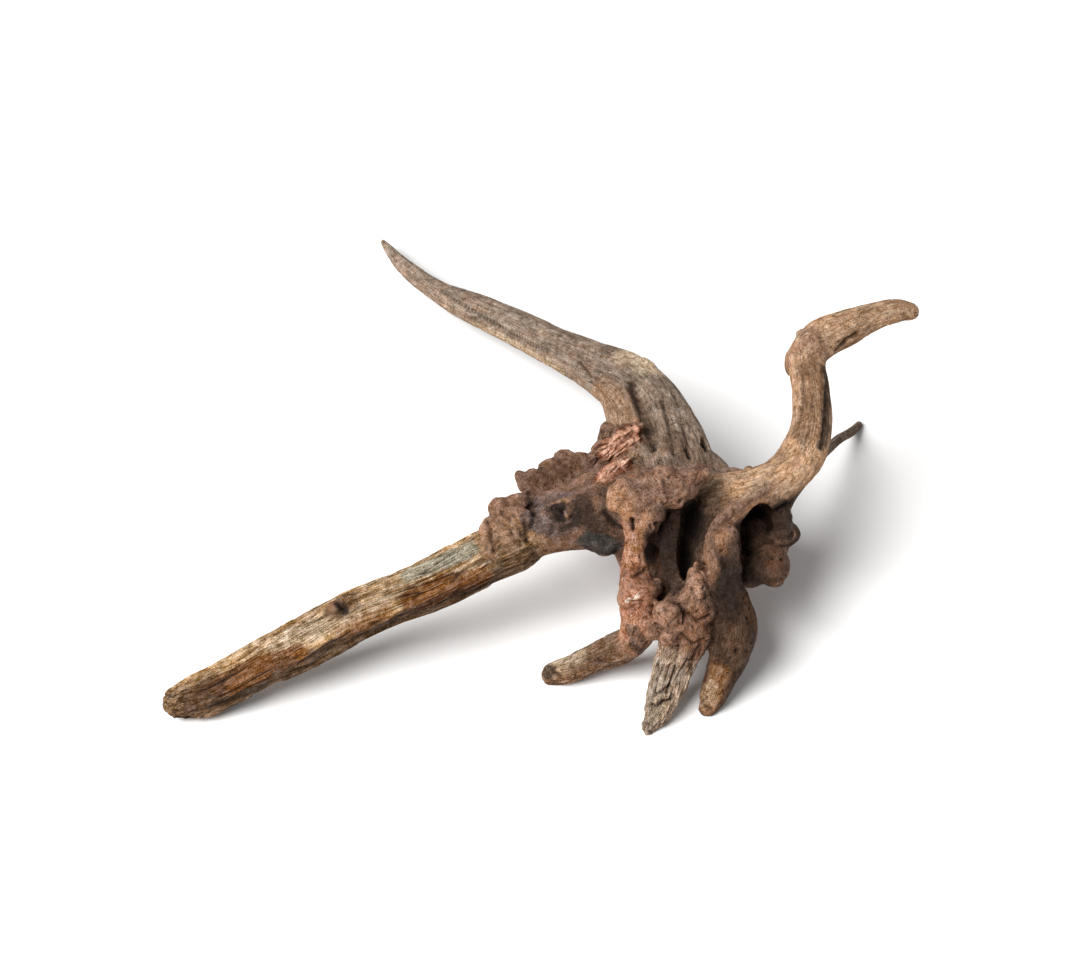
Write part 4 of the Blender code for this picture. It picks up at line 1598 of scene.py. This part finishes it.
# %% Build one piece
def rim_of(corners):
    """Starts and ends of the edges that have a triangle on one side only: the edge from a to b
    has none on its other side when no triangle holds the edge from b to a."""
    edges = corners[:, [0, 1, 1, 2, 2, 0]].reshape(-1, 2)
    size = corners.max() + 1
    there, back = edges @ (size, 1), edges @ (1, size)
    return edges[~np.isin(there, back)].T


def rings(start, end):
    """The rims as closed rows of points, where each edge's end is the start of the next."""
    after, found = dict(zip(start.tolist(), end.tolist())), []
    while after:
        ring = [next(iter(after))]
        while ring[-1] in after:
            ring.append(after.pop(ring[-1]))
        found.append(ring[1:])
    return found


def piece_of(name, mine):
    """The mesh of one node's triangles and numbers, and the points that its neighbours share. At
    a rim a band of triangles turns CAP_DEPTH into the wood, and a cap fills the band's inner
    ring, so that no edge of the cap falls on an edge of the skin."""
    used = np.unique(triangles[mine])
    number_of = np.full(len(wood_points), -1)
    number_of[used] = np.arange(len(used))
    corners = number_of[triangles[mine]]
    start, end = rim_of(corners)
    rims = np.unique(start)
    inner = np.zeros(len(used), int)
    inner[rims] = len(used) + np.arange(len(rims))
    outer_half = np.stack([end, start, inner[start]], axis=1)
    inner_half = np.stack([end, inner[start], inner[end]], axis=1)
    caps = [inner[ring[::-1]].tolist() for ring in rings(start, end)]
    source = np.r_[used, used[rims]]
    points = wood_points[source]
    points[len(used) :] -= CAP_DEPTH * wood_normals[used[rims]]
    faces = np.vstack([corners, outer_half, inner_half]).tolist()
    mesh = bpy.data.meshes.new(name)
    mesh.from_pydata(placed(points), [], faces + caps)
    sheet = bmesh.new()
    sheet.from_mesh(mesh)
    sheet.faces.ensure_lookup_table()
    bmesh.ops.triangulate(sheet, faces=sheet.faces[len(faces) :])
    sheet.to_mesh(mesh)
    sheet.free()
    mesh.attributes.new("tone", "FLOAT_COLOR", "POINT").data.foreach_set(
        "color", np.c_[tone[source], np.ones(len(source))].astype(np.float32).ravel()
    )
    for label, values in (("grain", grain_vector), ("facing", wood_normals)):
        mesh.attributes.new(label, "FLOAT_VECTOR", "POINT").data.foreach_set(
            "vector", values[source].astype(np.float32).ravel()
        )
    for label, values in (("fibre", fibre), ("coarse", coarse)):
        mesh.attributes.new(label, "FLOAT", "POINT").data.foreach_set(
            "value", values[source].astype(np.float32)
        )
    print(name, "is closed by", len(caps), "caps")
    return mesh, rims


# %% Make the eight pieces
SLOTS = {
    "burl": "burl_wood",
    "long_limb": "limb_wood",
    "swept_horn": "horn_wood",
    "raised_antler": "antler_wood",
    "left_foot": "foot_wood",
    "splintered_foot": "splintered_wood",
    "right_foot": "brown_wood",
    "back_twig": "twig_wood",
}
for number, name in enumerate(NODES):
    slot = SLOTS[name]
    mesh, rims = piece_of(name + "_wood", owner == number)
    piece = bpy.data.objects.new(name + "_wood", mesh)
    bpy.context.scene.collection.objects.link(piece)
    if len(mesh.polygons) > MOST_TRIANGLES:
        thin(piece, rims)
    shade(piece.data)
    piece.data.materials.append(weathered("weathered_" + slot))
    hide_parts(name)
    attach(piece, "root")
    sheet = bmesh.new()
    sheet.from_mesh(piece.data)
    open_edges = sum(not edge.is_manifold for edge in sheet.edges)
    sheet.free()
    print(name, len(piece.data.polygons), "faces, open edges", open_edges)
bpy.data.objects.remove(body)
